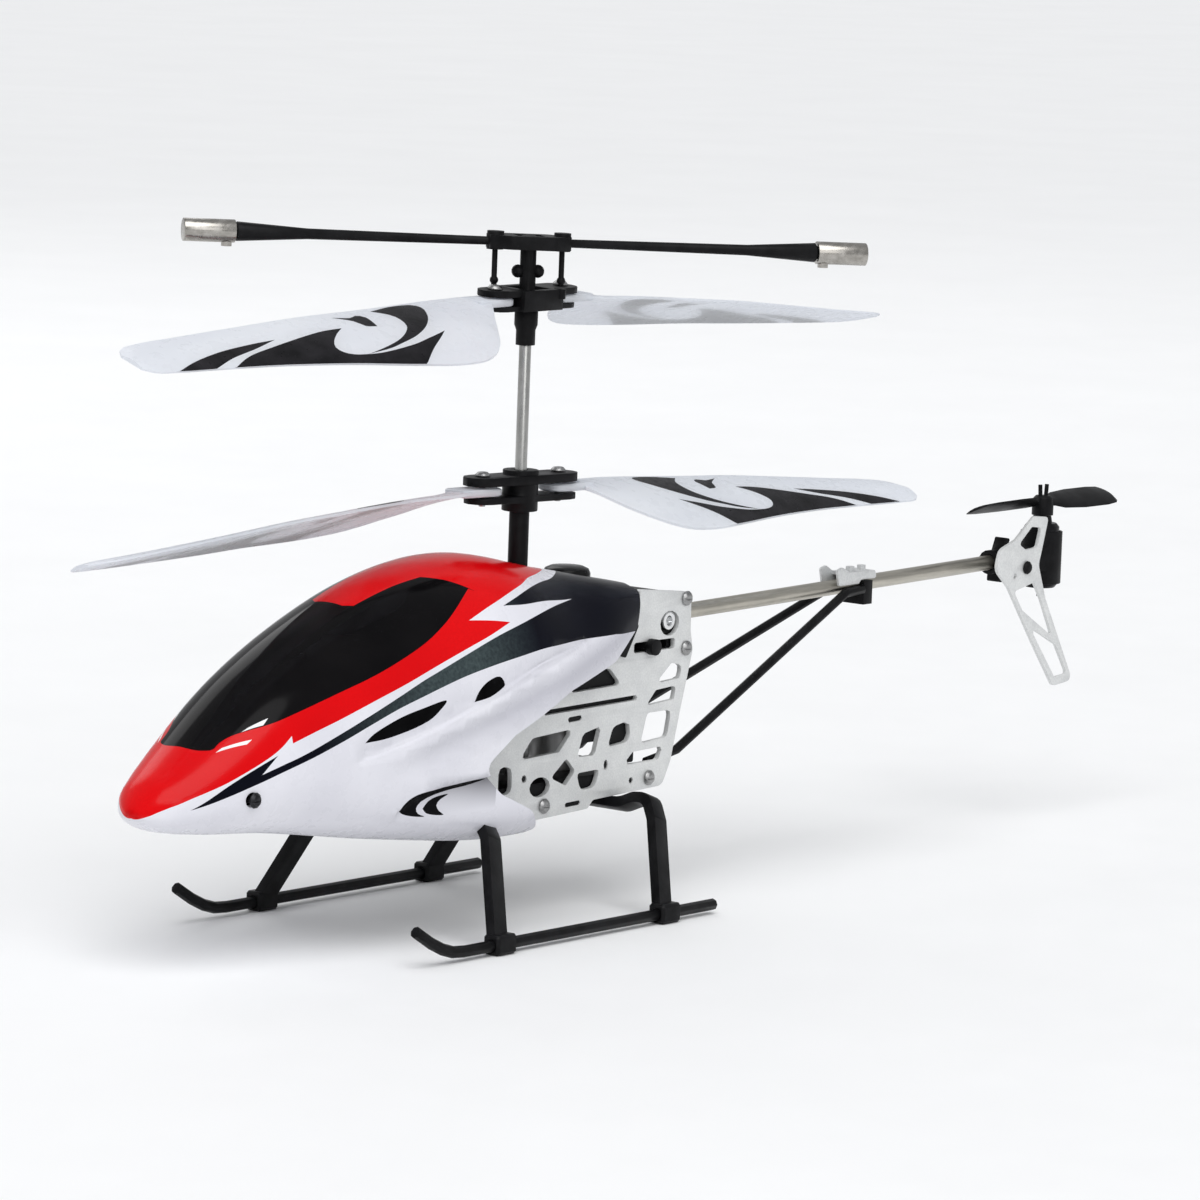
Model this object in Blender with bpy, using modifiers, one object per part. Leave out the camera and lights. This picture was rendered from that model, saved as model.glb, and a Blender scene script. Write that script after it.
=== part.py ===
"""Coaxial remote control helicopter, modelled as an assembly of separate parts.

Lengths in the tables and calls below are millimetres in the mast frame: the rotor mast is at x = 0,
y = 0, the nose points to -X, the port side is -Y, and z = 0 is the centre line of the skid rods.
place() turns them into world metres, with the ground at z = 0 and the whole craft centred on X.
"""

import math

import bmesh
import bpy
from mathutils import Matrix, Vector

MM = 0.001
WELD = 1e-6

# Driving dimensions
ROTOR_RADIUS = 84.0
NOSE_X = -83.1
CANOPY_END_X = 17.2
CANOPY_WALL = 0.8
FRAME_HALF_WIDTH = 9.5
FRAME_SHEET = 0.8
SKID_HALF_TRACK = 22.8
SKID_RADIUS = 0.9
SKID_DROP = 1.3
STRUT_FEET_X = {"front": -29.0, "rear": 9.3}
STRUT_RAKE = math.radians(20)
LOWER_ROTOR_Z = 61.6
UPPER_ROTOR_Z = 89.8
FLYBAR_Z = 98.2
FLYBAR_HALF_LENGTH = 51.9
BLADE_SCREW_RADIUS_AT = 7.6
LOWER_ROTOR_TURN = math.radians(-8.0)
FLYBAR_TURN = math.radians(-36.4)
FLYBAR_TILT = math.radians(1.2)
GRIP_ROLL = math.radians(3.5)
LINK_REACH = 5.1
OUTER_MAST_RADIUS = 1.5
INNER_SHAFT_RADIUS = 0.9
GEAR_TEETH = 40
PINION_TEETH = 8
GEAR_MODULE = 0.4
GEAR_CENTRES = GEAR_MODULE * (GEAR_TEETH + PINION_TEETH) / 2
UPPER_GEAR_Z = (32.8, 34.4)
LOWER_GEAR_Z = (28.9, 30.5)
MOTOR_RADIUS = 3.5
MOTOR_Z = (15.6, 27.4)
TAIL_X = 136.3
TAIL_MOTOR_RADIUS = 2.9
TAIL_ROTOR_RADIUS = 19.4
TAIL_ROTOR_Z = 50.3
BOOM_START = (11.0, 0.0, 39.5)
BOOM_END = (123.6, 0.0, 41.42)
BOOM_RADIUS = 1.2
GAP = 0.1

MAST_X = -(TAIL_X + TAIL_ROTOR_RADIUS - ROTOR_RADIUS) / 2

# Frame screws: x and z on each side plate
FRAME_SCREWS = ((28.9, 44.0), (29.2, 36.4), (21.2, 17.4), (-3.7, 15.7))
CANOPY_SCREW = (-69.0, 23.5)
RECEIVER_X = 11.7


def place(x, y, z):
    """A mast-frame point in world metres."""
    return Vector((x + MAST_X, y, z + SKID_DROP)) * MM


# ---------------------------------------------------------------- scene, collections, materials

for old in list(bpy.data.objects):
    bpy.data.objects.remove(old)

PARTS = bpy.data.collections.new("remote_control_helicopter")
CUTTERS = bpy.data.collections.new("cutters")
bpy.context.scene.collection.children.link(PARTS)
bpy.context.scene.collection.children.link(CUTTERS)


def material(name, colour, roughness, metallic=0.0):
    made = bpy.data.materials.new(name)
    made.use_nodes = True
    shader = made.node_tree.nodes["Principled BSDF"]
    shader.inputs["Base Color"].default_value = (*colour, 1)
    shader.inputs["Roughness"].default_value = roughness
    shader.inputs["Metallic"].default_value = metallic
    return made


WHITE_GLOSS = material("white_gloss", (0.85, 0.85, 0.88), 0.2)
GLAZING = material("glazing", (0.01, 0.01, 0.012), 0.08)
BLACK_PLASTIC = material("black_plastic", (0.012, 0.012, 0.013), 0.45)
SILVER = material("silver", (0.78, 0.79, 0.8), 0.3, 1.0)
STEEL = material("steel", (0.6, 0.6, 0.6), 0.25, 1.0)
BOARD_GREEN = material("board_green", (0.02, 0.16, 0.06), 0.5)
CELL_WRAP = material("cell_wrap", (0.55, 0.57, 0.6), 0.35, 0.4)
BLADE_WHITE = material("blade_white", (0.8, 0.82, 0.85), 0.3)
PINION_WHITE = material("pinion_white", (0.7, 0.7, 0.66), 0.4)


# ---------------------------------------------------------------- modelling helpers

def adopt(name, data, finish, location, rotation=None):
    """Links a new object: a part when it has a finish, otherwise a hidden cutter."""
    obj = bpy.data.objects.new(name, data)
    obj.location = location
    if rotation is not None:
        obj.rotation_euler = rotation
    if finish is None:
        CUTTERS.objects.link(obj)
        obj.hide_render = True
        obj.display_type = "WIRE"
    else:
        PARTS.objects.link(obj)
        data.materials.append(finish)
    return obj


def mesh_of(bm, name, smooth=False):
    bmesh.ops.recalc_face_normals(bm, faces=bm.faces)
    mesh = bpy.data.meshes.new(name)
    bm.to_mesh(mesh)
    bm.free()
    if smooth:
        mesh.shade_smooth()
        mesh.set_sharp_from_angle(angle=math.radians(35))
    return mesh


def box(name, low, high, finish=None):
    """Block between two opposite corners."""
    size = Vector(high) - Vector(low)
    bm = bmesh.new()
    bmesh.ops.create_cube(bm, size=1)
    bmesh.ops.scale(bm, vec=size * MM, verts=bm.verts)
    centre = (Vector(high) + Vector(low)) / 2
    return adopt(name, mesh_of(bm, name), finish, place(*centre))


def rod(name, start, end, radius, finish=None, end_radius=None, sides=16):
    """Round bar between two points, tapered when end_radius is given."""
    run = Vector(end) - Vector(start)
    bm = bmesh.new()
    bmesh.ops.create_cone(
        bm, cap_ends=True, segments=sides, radius1=radius * MM,
        radius2=(radius if end_radius is None else end_radius) * MM, depth=run.length * MM,
    )
    turn = run.to_track_quat("Z", "Y").to_euler()
    middle = (Vector(start) + Vector(end)) / 2
    return adopt(name, mesh_of(bm, name, smooth=True), finish, place(*middle), turn)


def ball(name, centre, radius, finish=None, sides=12):
    bm = bmesh.new()
    bmesh.ops.create_uvsphere(bm, u_segments=sides, v_segments=sides // 2 + 1, radius=radius * MM)
    return adopt(name, mesh_of(bm, name, smooth=True), finish, place(*centre))


def turned(name, profile, at, finish=None, steps=20, ring=False, rotation=None):
    """Solid of revolution about local Z from (radius, z) points, listed down the outer side."""
    bm = bmesh.new()
    verts = [bm.verts.new((r * MM, 0, z * MM)) for r, z in profile]
    for first, second in zip(verts, verts[1:]):
        bm.edges.new((first, second))
    if ring:
        bm.edges.new((verts[-1], verts[0]))
    mesh = bpy.data.meshes.new(name)
    bm.to_mesh(mesh)
    bm.free()
    obj = adopt(name, mesh, finish, place(*at), rotation)
    screw = obj.modifiers.new("turn", "SCREW")
    screw.steps = steps
    screw.render_steps = steps
    screw.use_merge_vertices = True
    screw.merge_threshold = 1e-5
    return obj


def rounded(corners, steps=3):
    """Outline of (x, y, radius) corners with each one rounded to its radius."""
    outline = []
    for i, (x, y, radius) in enumerate(corners):
        here = Vector((x, y))
        back = (Vector(corners[i - 1][:2]) - here).normalized()
        on = (Vector(corners[(i + 1) % len(corners)][:2]) - here).normalized()
        if radius == 0:
            outline.append((x, y))
            continue
        half = back.angle(on) / 2
        centre = here + (back + on).normalized() * radius / math.sin(half)
        first = here + back * radius / math.tan(half) - centre
        last = here + on * radius / math.tan(half) - centre
        sweep = first.angle_signed(last)
        start = math.atan2(first.y, first.x)
        for step in range(steps + 1):
            angle = start - sweep * step / steps
            outline.append((centre.x + radius * math.cos(angle), centre.y + radius * math.sin(angle)))
    return outline


def oval(x, y, half_width, half_height, sides=12):
    """Elliptic outline."""
    angles = [2 * math.pi * i / sides for i in range(sides)]
    return [(x + half_width * math.cos(a), y + half_height * math.sin(a)) for a in angles]


def plate(name, outlines, thickness, at, finish=None, rotation=None):
    """Flat plate from an outer outline and its holes, centred on its own thickness."""
    curve = bpy.data.curves.new(name, "CURVE")
    curve.dimensions = "2D"
    curve.fill_mode = "BOTH"
    curve.extrude = thickness * MM / 2
    for outline in outlines:
        spline = curve.splines.new("POLY")
        spline.points.add(len(outline) - 1)
        for point, (x, y) in zip(spline.points, outline):
            point.co = (x * MM, y * MM, 0, 1)
        spline.use_cyclic_u = True
    drawn = bpy.data.objects.new(name + "_outline", curve)
    CUTTERS.objects.link(drawn)
    mesh = bpy.data.meshes.new_from_object(drawn.evaluated_get(bpy.context.evaluated_depsgraph_get()))
    bpy.data.objects.remove(drawn)
    bm = bmesh.new()
    bm.from_mesh(mesh)
    bpy.data.meshes.remove(mesh)
    bmesh.ops.remove_doubles(bm, verts=bm.verts, dist=WELD)
    return adopt(name, mesh_of(bm, name), finish, place(*at), rotation)


FACING_PORT = (math.radians(90), 0, 0)


def side_plate(name, outlines, thickness, y, finish=None):
    """Plate whose outline is given in side view, as x and z."""
    return plate(name, outlines, thickness, (0, y, 0), finish, FACING_PORT)


def boolean(obj, operation, tools):
    for tool in tools:
        tool.parent = obj
        tool.matrix_parent_inverse = obj.matrix_basis.inverted()
        step = obj.modifiers.new(operation.lower(), "BOOLEAN")
        step.operation = operation
        step.solver = "EXACT"
        step.object = tool
    return obj


def fuse(obj, *tools):
    return boolean(obj, "UNION", tools)


def cut(obj, *tools):
    return boolean(obj, "DIFFERENCE", tools)


def pivot(name, point, *children):
    """Empty on a joint axis that carries the moving pieces."""
    empty = bpy.data.objects.new(name, None)
    empty.empty_display_size = 5 * MM
    empty.location = place(*point)
    PARTS.objects.link(empty)
    for child in children:
        child.parent = empty
        child.matrix_parent_inverse = Matrix.Translation(-empty.location)
    return empty


def turned_about(point, angle):
    """The point turned about the mast."""
    x, y, z = point
    return (x * math.cos(angle) - y * math.sin(angle), x * math.sin(angle) + y * math.cos(angle), z)


def build_screw(name, x, z, side, face, length):
    """Slotted screw along Y whose head rests at that distance from the centre plane."""
    head = turned(
        name, [(0, 0.7), (0.75, 0.6), (1.15, 0.2), (1.15, 0), (0.5, 0), (0.5, -length), (0, -length)],
        (x, side * face, z), STEEL, 10, rotation=(side * math.radians(-90), 0, 0),
    )
    low, high = sorted((side * (face + 0.4), side * (face + 1.2)))
    return cut(head, box(name + "_slot", (x - 1.5, low, z - 0.17), (x + 1.5, high, z + 0.17)))


# ---------------------------------------------------------------- canopy and windscreen

def smooth_value(knots, x):
    """Cubic curve through (x, value) knots with averaged slopes."""
    last = len(knots) - 1
    slopes = [(knots[i + 1][1] - knots[i][1]) / (knots[i + 1][0] - knots[i][0]) for i in range(last)]
    tangents = [slopes[0]] + [(a + b) / 2 for a, b in zip(slopes, slopes[1:])] + [slopes[-1]]
    i = max(j for j in range(last) if knots[j][0] <= x or j == 0)
    span = knots[i + 1][0] - knots[i][0]
    t = (x - knots[i][0]) / span
    return (
        knots[i][1] * (1 + 2 * t) * (1 - t) ** 2
        + tangents[i] * span * t * (1 - t) ** 2
        + knots[i + 1][1] * t * t * (3 - 2 * t)
        + tangents[i + 1] * span * t * t * (t - 1)
    )


ROOF = ((-84, 23.4), (-75, 29.2), (-60, 39.8), (-45, 47.2), (-30, 51.8), (-15, 53.1), (0, 50.3), (18, 46.9))
BELLY = ((-84, 20.2), (-79.5, 18.9), (-72, 17.8), (-60, 16.8), (-40, 14.2), (-20, 12.4), (-5, 12.9), (18, 15.5))
BEAM = ((-84, 3.2), (-75, 8.0), (-60, 12.2), (-45, 15.0), (-30, 17.1), (-14, 18.0), (2, 16.0), (18, 11.0))
ROOF_SQUARENESS = ((-84, 2.1), (-15, 2.3), (2, 2.9), (10, 4.8), (18, 8.0))
BELLY_SQUARENESS = ((-84, 2.2), (-60, 2.5), (-38, 3.8), (-15, 5.0), (18, 5.0))
NOSE_ROUNDING = 4.0
NOSE_HEIGHT = 21.4
STATIONS = 18
RING_POINTS = 32


def canopy_section(x):
    """Closed ring of points around the canopy at one station."""
    reach = min((x - NOSE_X) / NOSE_ROUNDING, 1)
    grow = math.sqrt(max(0, 1 - (1 - reach) ** 2))
    top = NOSE_HEIGHT + (smooth_value(ROOF, x) - NOSE_HEIGHT) * grow
    bottom = NOSE_HEIGHT + (smooth_value(BELLY, x) - NOSE_HEIGHT) * grow
    half = smooth_value(BEAM, x) * grow
    waist = bottom + 0.42 * (top - bottom)
    ring = []
    for i in range(RING_POINTS):
        angle = 2 * math.pi * i / RING_POINTS
        across, up = math.cos(angle), math.sin(angle)
        power = 2 / smooth_value(ROOF_SQUARENESS if up > 0 else BELLY_SQUARENESS, x)
        height = (top - waist) if up > 0 else (waist - bottom)
        y = half * math.copysign(abs(across) ** power, across)
        z = waist + height * math.copysign(abs(up) ** power, up)
        ring.append(place(x, y, z))
    return ring


def canopy_skin(name, finish=None):
    """Lofted canopy wall, open at the back, with its thickness inwards."""
    bm = bmesh.new()
    rings = []
    for i in range(1, STATIONS + 1):
        x = NOSE_X + (CANOPY_END_X - NOSE_X) * (i / STATIONS) ** 1.3
        rings.append([bm.verts.new(point) for point in canopy_section(x)])
    tip = bm.verts.new(place(NOSE_X, 0, NOSE_HEIGHT))
    for i in range(RING_POINTS):
        following = (i + 1) % RING_POINTS
        bm.faces.new((tip, rings[0][following], rings[0][i]))
        for near, far in zip(rings, rings[1:]):
            bm.faces.new((near[i], near[following], far[following], far[i]))
    skin = adopt(name, mesh_of(bm, name, smooth=True), finish, (0, 0, 0))
    wall = skin.modifiers.new("wall", "SOLIDIFY")
    wall.thickness = CANOPY_WALL * MM
    wall.offset = -1
    return skin


# Rear edge of the canopy in side view, from the roof down to the belly
REAR_EDGE = (
    (16.7, 60, 0), (16.4, 46, 0), (13.7, 41.1, 1.2), (5.6, 37.1, 6), (-8, 34.1, 6), (-21, 29, 4),
    (-27.3, 24.6, 2), (-22.5, 20.2, 4), (-16.0, 17.4, 2), (-12.6, 14.2, 1), (-12.2, 5, 0), (40, 5, 0),
    (40, 60, 0),
)
# Lower edge of the windscreen in side view, from the nose to its rear tip
SILL = (
    (-73.4, 30.2), (-70.8, 31.3), (-62.5, 34.0), (-49.4, 38.2), (-38.4, 42.0), (-31.0, 45.4), (-23.2, 49.6),
)
# Half outline, in top view, of the roof panel that stays painted
ROOF_PANEL = ((-42.6, 2.6), (-41.6, 3.9), (-34.0, 4.5), (-28.5, 5.2), (-25.6, 7.4), (-22.4, 10.4))


def window_prism(name, grow):
    """Block that covers the windscreen area, grown outwards by grow."""
    sill = [(x - 0.4 * grow, z - 0.9 * grow) for x, z in SILL]
    side = sill + [(-21.8 + grow, 60), (-90, 60), (-90, 30.2 - grow)]
    block = side_plate(name, [side], 50, 0)
    half = [(x + grow, y - grow) for x, y in ROOF_PANEL]
    panel = half + [(0, 11 - grow), (0, -(11 - grow))] + [(x, -y) for x, y in reversed(half)]
    roof = plate(name + "_roof", [panel], 40, (0, 0, 60))
    return cut(block, roof)


STRUT_PATHS = {
    "front": ((0, 15.3), (9.6, 15.3), (12.0, 15.8), (14.6, 15.9), (16.5, 14.0), (22.4, 0.6)),
    "rear": ((0, 14.2), (10.6, 14.2), (13.0, 15.3), (15.4, 15.5), (17.3, 12.8), (22.4, 0.6)),
}


def slanted_band(name, end, finish, grow=0.0):
    """Strut arch: a flat bar bent over from skid to skid and raked back."""
    thickness, width = 1.5 + 2 * grow, 3.1 + 2 * grow
    path = STRUT_PATHS[end]
    foot_x = STRUT_FEET_X[end] - 0.4
    radii = (0, 4.0, 3.0, 2.2, 2.2, 0)
    stretch = 1 / math.cos(STRUT_RAKE)

    def side_of(offset):
        """The path moved sideways by offset, corner by corner."""
        moved = []
        for i, (y, z) in enumerate(path):
            before = Vector(path[max(i - 1, 0)])
            after = Vector(path[min(i + 1, len(path) - 1)])
            here = Vector((y, z))
            into = (here - before).normalized() if i else (after - here).normalized()
            out = (after - here).normalized() if i < len(path) - 1 else into
            along = (into + out).normalized()
            reach = offset / max(along.dot(into), 0.3)
            moved.append((y - along.y * reach, z + along.x * reach))
        return moved

    outer = side_of(thickness / 2)
    inner = side_of(-thickness / 2)
    right = [(y, z * stretch, r) for (y, z), r in zip(outer, radii)][1:]
    under = [(y, z * stretch, max(r - 0.8, 0)) for (y, z), r in zip(inner, radii)][1:]
    loop = [(-y, z, r) for y, z, r in reversed(right)] + right
    loop += list(reversed(under)) + [(-y, z, r) for y, z, r in under]
    lie_across = (math.radians(90), 0, math.radians(90))
    band = plate(name, [rounded(loop, 3)], width, (foot_x, 0, 0), finish, lie_across)
    band.rotation_euler = (Matrix.Rotation(STRUT_RAKE, 3, "Y") @ band.rotation_euler.to_matrix()).to_euler()
    return band


def build_canopy():
    rear_cut = side_plate("rear_cut", [rounded(REAR_EDGE)], 60, 0)
    window_hole = window_prism("window_hole", 0.0)
    mast_hole = rod("canopy_mast_hole", (0, 0, 44), (0, 0, 58), 3.0)
    dome_hole = rod("canopy_dome_hole", (RECEIVER_X, 0, 44), (RECEIVER_X, 0, 52), 4.0, sides=20)
    screw_x, screw_z = CANOPY_SCREW
    screw_hole = rod("canopy_screw_hole", (screw_x, -20, screw_z), (screw_x, 20, screw_z), 0.7, sides=8)
    opening = [(-46, -6, 3), (-46, 6, 3), (-30, 10.2, 4), (0, 10.2, 0), (0, -10.2, 0), (-30, -10.2, 4)]
    belly_cut = plate("belly_cut", [rounded(opening)], 14, (0, 0, 9.5))
    strut_slot = slanted_band("strut_slot", "front", None, grow=0.25)
    shell = canopy_skin("canopy_shell", WHITE_GLOSS)
    cut(shell, rear_cut, window_hole, mast_hole, dome_hole, screw_hole, belly_cut, strut_slot)
    glazing = canopy_skin("windscreen", GLAZING)
    boolean(glazing, "INTERSECT", [window_prism("window_pane", -0.12)])
    for side, name in ((-1, "left"), (1, "right")):
        build_screw(f"canopy_screw_{name}", screw_x, screw_z, side, 10.4, 4.2)


# ---------------------------------------------------------------- side frames and what they hold

FRAME_OUTLINE = (
    (17.6, 46.2, 0.4), (30.2, 44.9, 2.0), (30.3, 39.0, 1.5), (31.0, 36.0, 1.5), (28.3, 26.5, 4.0),
    (26.5, 19.5, 4.0), (24.6, 15.9, 1.6), (15.1, 15.6, 3.0), (8.0, 15.4, 1.0), (6.8, 14.2, 1.0),
    (-7.3, 13.7, 1.5), (-9.6, 14.8, 1.0), (-20.0, 15.6, 4.0), (-30.0, 18.0, 2.0), (-30.0, 35.0, 4.0),
    (-10.0, 41.5, 6.0), (17.6, 42.6, 0.4),
)
FRAME_WINDOWS = (
    ((1.6, 32.0, 0.3), (5.0, 34.9, 1.0), (11.0, 34.9, 1.4), (13.9, 32.2, 0.4)),
    ((-4.8, 29.2, 0.2), (-3.4, 30.0, 0.3), (17.8, 30.3, 0.3), (17.8, 29.5, 0.3)),
    ((1.2, 27.6, 0.3), (1.6, 28.4, 0.3), (4.9, 28.5, 0.3), (4.5, 27.7, 0.3)),
    ((-9.6, 23.1, 0.5), (-6.8, 26.1, 1.4), (3.0, 26.6, 0.5), (-0.4, 23.4, 0.8)),
    ((3.9, 22.2, 0.4), (5.1, 25.6, 0.8), (9.4, 26.4, 0.4), (8.0, 22.1, 0.6)),
    ((11.1, 23.0, 0.5), (12.2, 26.0, 1.4), (17.2, 26.8, 1.4), (16.0, 23.4, 1.2)),
    ((-2.2, 19.7, 0.4), (1.4, 22.3, 0.5), (3.6, 20.2, 0.5), (1.4, 18.2, 0.4)),
    ((3.9, 19.8, 0.5), (9.4, 19.9, 0.5), (8.4, 17.3, 1.2), (4.9, 17.1, 1.2)),
    ((1.0, 14.9, 0.25), (1.6, 15.6, 0.25), (5.2, 15.7, 0.25), (4.8, 15.0, 0.25)),
    ((20.0, 28.4, 0.3), (22.3, 30.6, 0.6), (27.3, 30.9, 0.6), (26.8, 28.8, 0.4)),
    ((22.2, 31.6, 0.4), (25.9, 34.4, 0.6), (28.6, 33.9, 0.8), (28.0, 31.9, 0.6)),
    ((19.0, 22.8, 0.5), (20.4, 27.3, 0.8), (26.3, 27.3, 0.8), (25.4, 23.2, 0.8)),
    ((14.9, 19.9, 0.4), (17.2, 21.7, 0.5), (24.6, 21.9, 0.4), (23.4, 19.9, 0.5)),
    ((-14.4, 18.3, 1.0), (-14.4, 22.6, 1.0), (-11.4, 22.2, 1.0), (-11.2, 18.3, 1.0)),
    ((16.6, 36.6, 0.3), (16.6, 38.2, 0.3), (26.5, 38.2, 0.3), (26.5, 36.6, 0.3)),
)
FRAME_OVALS = ((-4.7, 18.6, 2.4, 1.5), (10.8, 20.4, 0.5, 0.8), (-8.4, 20.2, 0.6, 0.6), (25.1, 40.5, 2.3, 1.9),
               (17.0, 17.4, 0.5, 0.5), (12.7, 38.6, 0.7, 1.7))


def build_side_frames():
    holes = [rounded(window, 2 if window[0][2] + window[2][2] > 0.8 else 1) for window in FRAME_WINDOWS]
    holes += [oval(*hole, 8 if hole[2] < 1 else 14) for hole in FRAME_OVALS]
    holes += [oval(x, z, 0.65, 0.65, 8) for x, z in FRAME_SCREWS]
    middle = FRAME_HALF_WIDTH - FRAME_SHEET / 2
    for side, name in ((-1, "left"), (1, "right")):
        side_plate(f"{name}_side_frame", [rounded(FRAME_OUTLINE)] + holes, FRAME_SHEET, side * middle, SILVER)
        for number, (x, z) in enumerate(FRAME_SCREWS, 1):
            build_screw(f"{name}_frame_screw_{number}", x, z, side, FRAME_HALF_WIDTH + GAP, 3.5)


BLOCK_HALF_WIDTH = FRAME_HALF_WIDTH - FRAME_SHEET - 0.15


def across_hole(name, x, z, radius, sides=10):
    return rod(name, (x, -12, z), (x, 12, z), radius, sides=sides)


def build_upper_block():
    """Moulded block that carries the mast bearing, the boom socket and the receiver dome."""
    outline = [(-6, 38.4, 1), (-6, 43.2, 1.5), (16, 43.4, 1), (19, 45.5, 1), (29.8, 44.6, 1), (30, 39, 1),
               (30.4, 36.2, 1), (29.4, 34.9, 0.8), (27.8, 35, 0.6), (27.2, 38.4, 0.4)]
    block = side_plate("upper_bearing_block", [rounded(outline, 2)], 2 * BLOCK_HALF_WIDTH, 0, BLACK_PLASTIC)
    neck = rod("mast_neck", (0, 0, 42), (0, 0, 49.6), 2.6)
    dome_seat = rod("dome_seat", (RECEIVER_X, 0, 42), (RECEIVER_X, 0, 44.0), 2.0)
    fuse(block, neck, dome_seat)
    mast_hole = rod("upper_mast_hole", (0, 0, 30), (0, 0, 55), OUTER_MAST_RADIUS + 0.15)
    past_end = Vector(BOOM_START) + (Vector(BOOM_END) - Vector(BOOM_START)) * 0.3
    before = Vector(BOOM_START) - Vector((GAP, 0, 0))
    boom_socket = rod("boom_socket", before, past_end, BOOM_RADIUS + GAP)
    socket_pocket = rod("charging_pocket", (25.1, -12, 40.9), (25.1, -5.2, 40.9), 1.55)
    screws = [across_hole(f"upper_screw_hole_{i}", x, z, 0.6, 8) for i, (x, z) in enumerate(FRAME_SCREWS[:2])]
    cut(block, mast_hole, boom_socket, socket_pocket, *screws)
    turned(
        "receiver_dome", [(0, 5.2), (2.5, 5.1), (3.3, 4.75), (3.6, 4.1), (3.6, 0), (0, 0)],
        (RECEIVER_X, 0, 44.15), BLACK_PLASTIC, 24,
    )
    turned(
        "charging_socket", [(0, 1.2), (0.75, 1.2), (0.75, 4.0), (1.4, 4.0), (1.4, 0), (0, 0)],
        (25.1, -5.4, 40.9), STEEL, 16, rotation=(math.radians(90), 0, 0),
    )


def build_lower_block():
    """Moulded base between the side frames that holds both motors and the shaft's lower bearing."""
    outline = [(-13.6, 16.3, 1), (-13.6, 19.0, 1), (22.6, 19.0, 1), (23.4, 16.6, 0.8), (15, 16.2, 0.5),
               (-1, 15.6, 0.5), (-4, 14.6, 0.5), (-6.5, 14.9, 0.8), (-8.4, 16.3, 0.5)]
    block = side_plate("lower_bearing_block", [rounded(outline, 2)], 2 * BLOCK_HALF_WIDTH, 0, BLACK_PLASTIC)
    holes = [rod("shaft_bearing", (0, 0, 10), (0, 0, 25), INNER_SHAFT_RADIUS + GAP)]
    for x in (-GEAR_CENTRES, GEAR_CENTRES):
        holes.append(rod("motor_hole", (x, 0, 10), (x, 0, 25), MOTOR_RADIUS + GAP, sides=24))
    for i, (x, z) in enumerate(FRAME_SCREWS[2:]):
        holes.append(across_hole(f"lower_screw_hole_{i}", x, z, 0.6, 8))
    cut(block, *holes)


def gear_outline(teeth, phase=0.0):
    """Spur gear outline with straight-sided teeth."""
    pitch_radius = GEAR_MODULE * teeth / 2
    outline = []
    for tooth in range(teeth):
        middle = phase + 2 * math.pi * tooth / teeth
        for radius, share in ((-0.5, -0.2), (0.34, -0.11), (0.34, 0.11), (-0.5, 0.2)):
            angle = middle + share * 2 * math.pi / teeth
            reach = pitch_radius + radius
            outline.append((reach * math.cos(angle), reach * math.sin(angle)))
    return outline


def build_gear(name, heights, bore):
    """Main gear: toothed disc with a bored hub under it."""
    low, high = heights
    disc = plate(name, [gear_outline(GEAR_TEETH)], high - low, (0, 0, (low + high) / 2), BLACK_PLASTIC)
    hub = rod(name + "_hub", (0, 0, low - 0.9), (0, 0, high - 0.4), bore + 1.1)
    return cut(fuse(disc, hub), rod(name + "_bore", (0, 0, low - 3), (0, 0, high + 3), bore))


def build_drive_motor(name, x, gear_heights):
    """Motor can with its end boss, and the pinion and shaft that turn in it."""
    low, high = MOTOR_Z
    can = turned(
        f"{name}_motor",
        [(0, high), (1.1, high), (1.1, high - 0.5), (2.9, high - 0.5), (3.5, high - 1.1),
         (3.5, low + 0.5), (3.1, low), (0, low)],
        (x, 0, 0), STEEL, 24,
    )
    bottom, top = gear_heights
    outline = gear_outline(PINION_TEETH, math.pi / PINION_TEETH)
    middle = (top + bottom) / 2
    teeth = plate(f"{name}_pinion", [outline], top - bottom + 0.6, (x, 0, middle), PINION_WHITE)
    shaft = rod(f"{name}_shaft", (x, 0, high + GAP), (x, 0, top + 1.0), 0.4, sides=12)
    fuse(teeth, shaft)
    return can, pivot(f"{name}_pinion_axis", (x, 0, middle), teeth)


def build_electronics():
    tray = box("battery_tray", (-64, -6.4, 19.7), (-30.4, 6.4, 20.5), BLACK_PLASTIC)
    rear_tongue = box("tray_tongue", (-31, -8.5, 19.7), (-20, 8.5, 20.5))
    web = box("tray_web", (-69.2, -2.6, 19.7), (-62, 2.6, 23.6))
    screw_x, screw_z = CANOPY_SCREW
    bar = rod("tray_bar", (screw_x, -8.3, screw_z), (screw_x, 8.3, screw_z), 1.4, sides=12)
    bore = rod("tray_bore", (screw_x, -12, screw_z), (screw_x, 12, screw_z), 0.62, sides=8)
    cut(fuse(tray, rear_tongue, web, bar), bore)
    cell = box("battery", (-59.5, -6.6, 20.8), (-34.0, 6.6, 28.6), CELL_WRAP)
    soften = cell.modifiers.new("round", "BEVEL")
    soften.width = 1.2 * MM
    soften.segments = 2
    board = box("circuit_board", (-29, -8.4, 36.0), (-14, 8.4, 37.0), BOARD_GREEN)
    chips = [
        box("main_chip", (-25, -3.5, 36.8), (-18, 3.5, 38.4)),
        box("connector", (-28.5, -6.5, 36.8), (-26.2, 1.5, 39.6)),
        box("crystal", (-17.2, -5.5, 36.8), (-15.4, -1.0, 38.8)),
    ]
    fuse(board, *chips)


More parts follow.
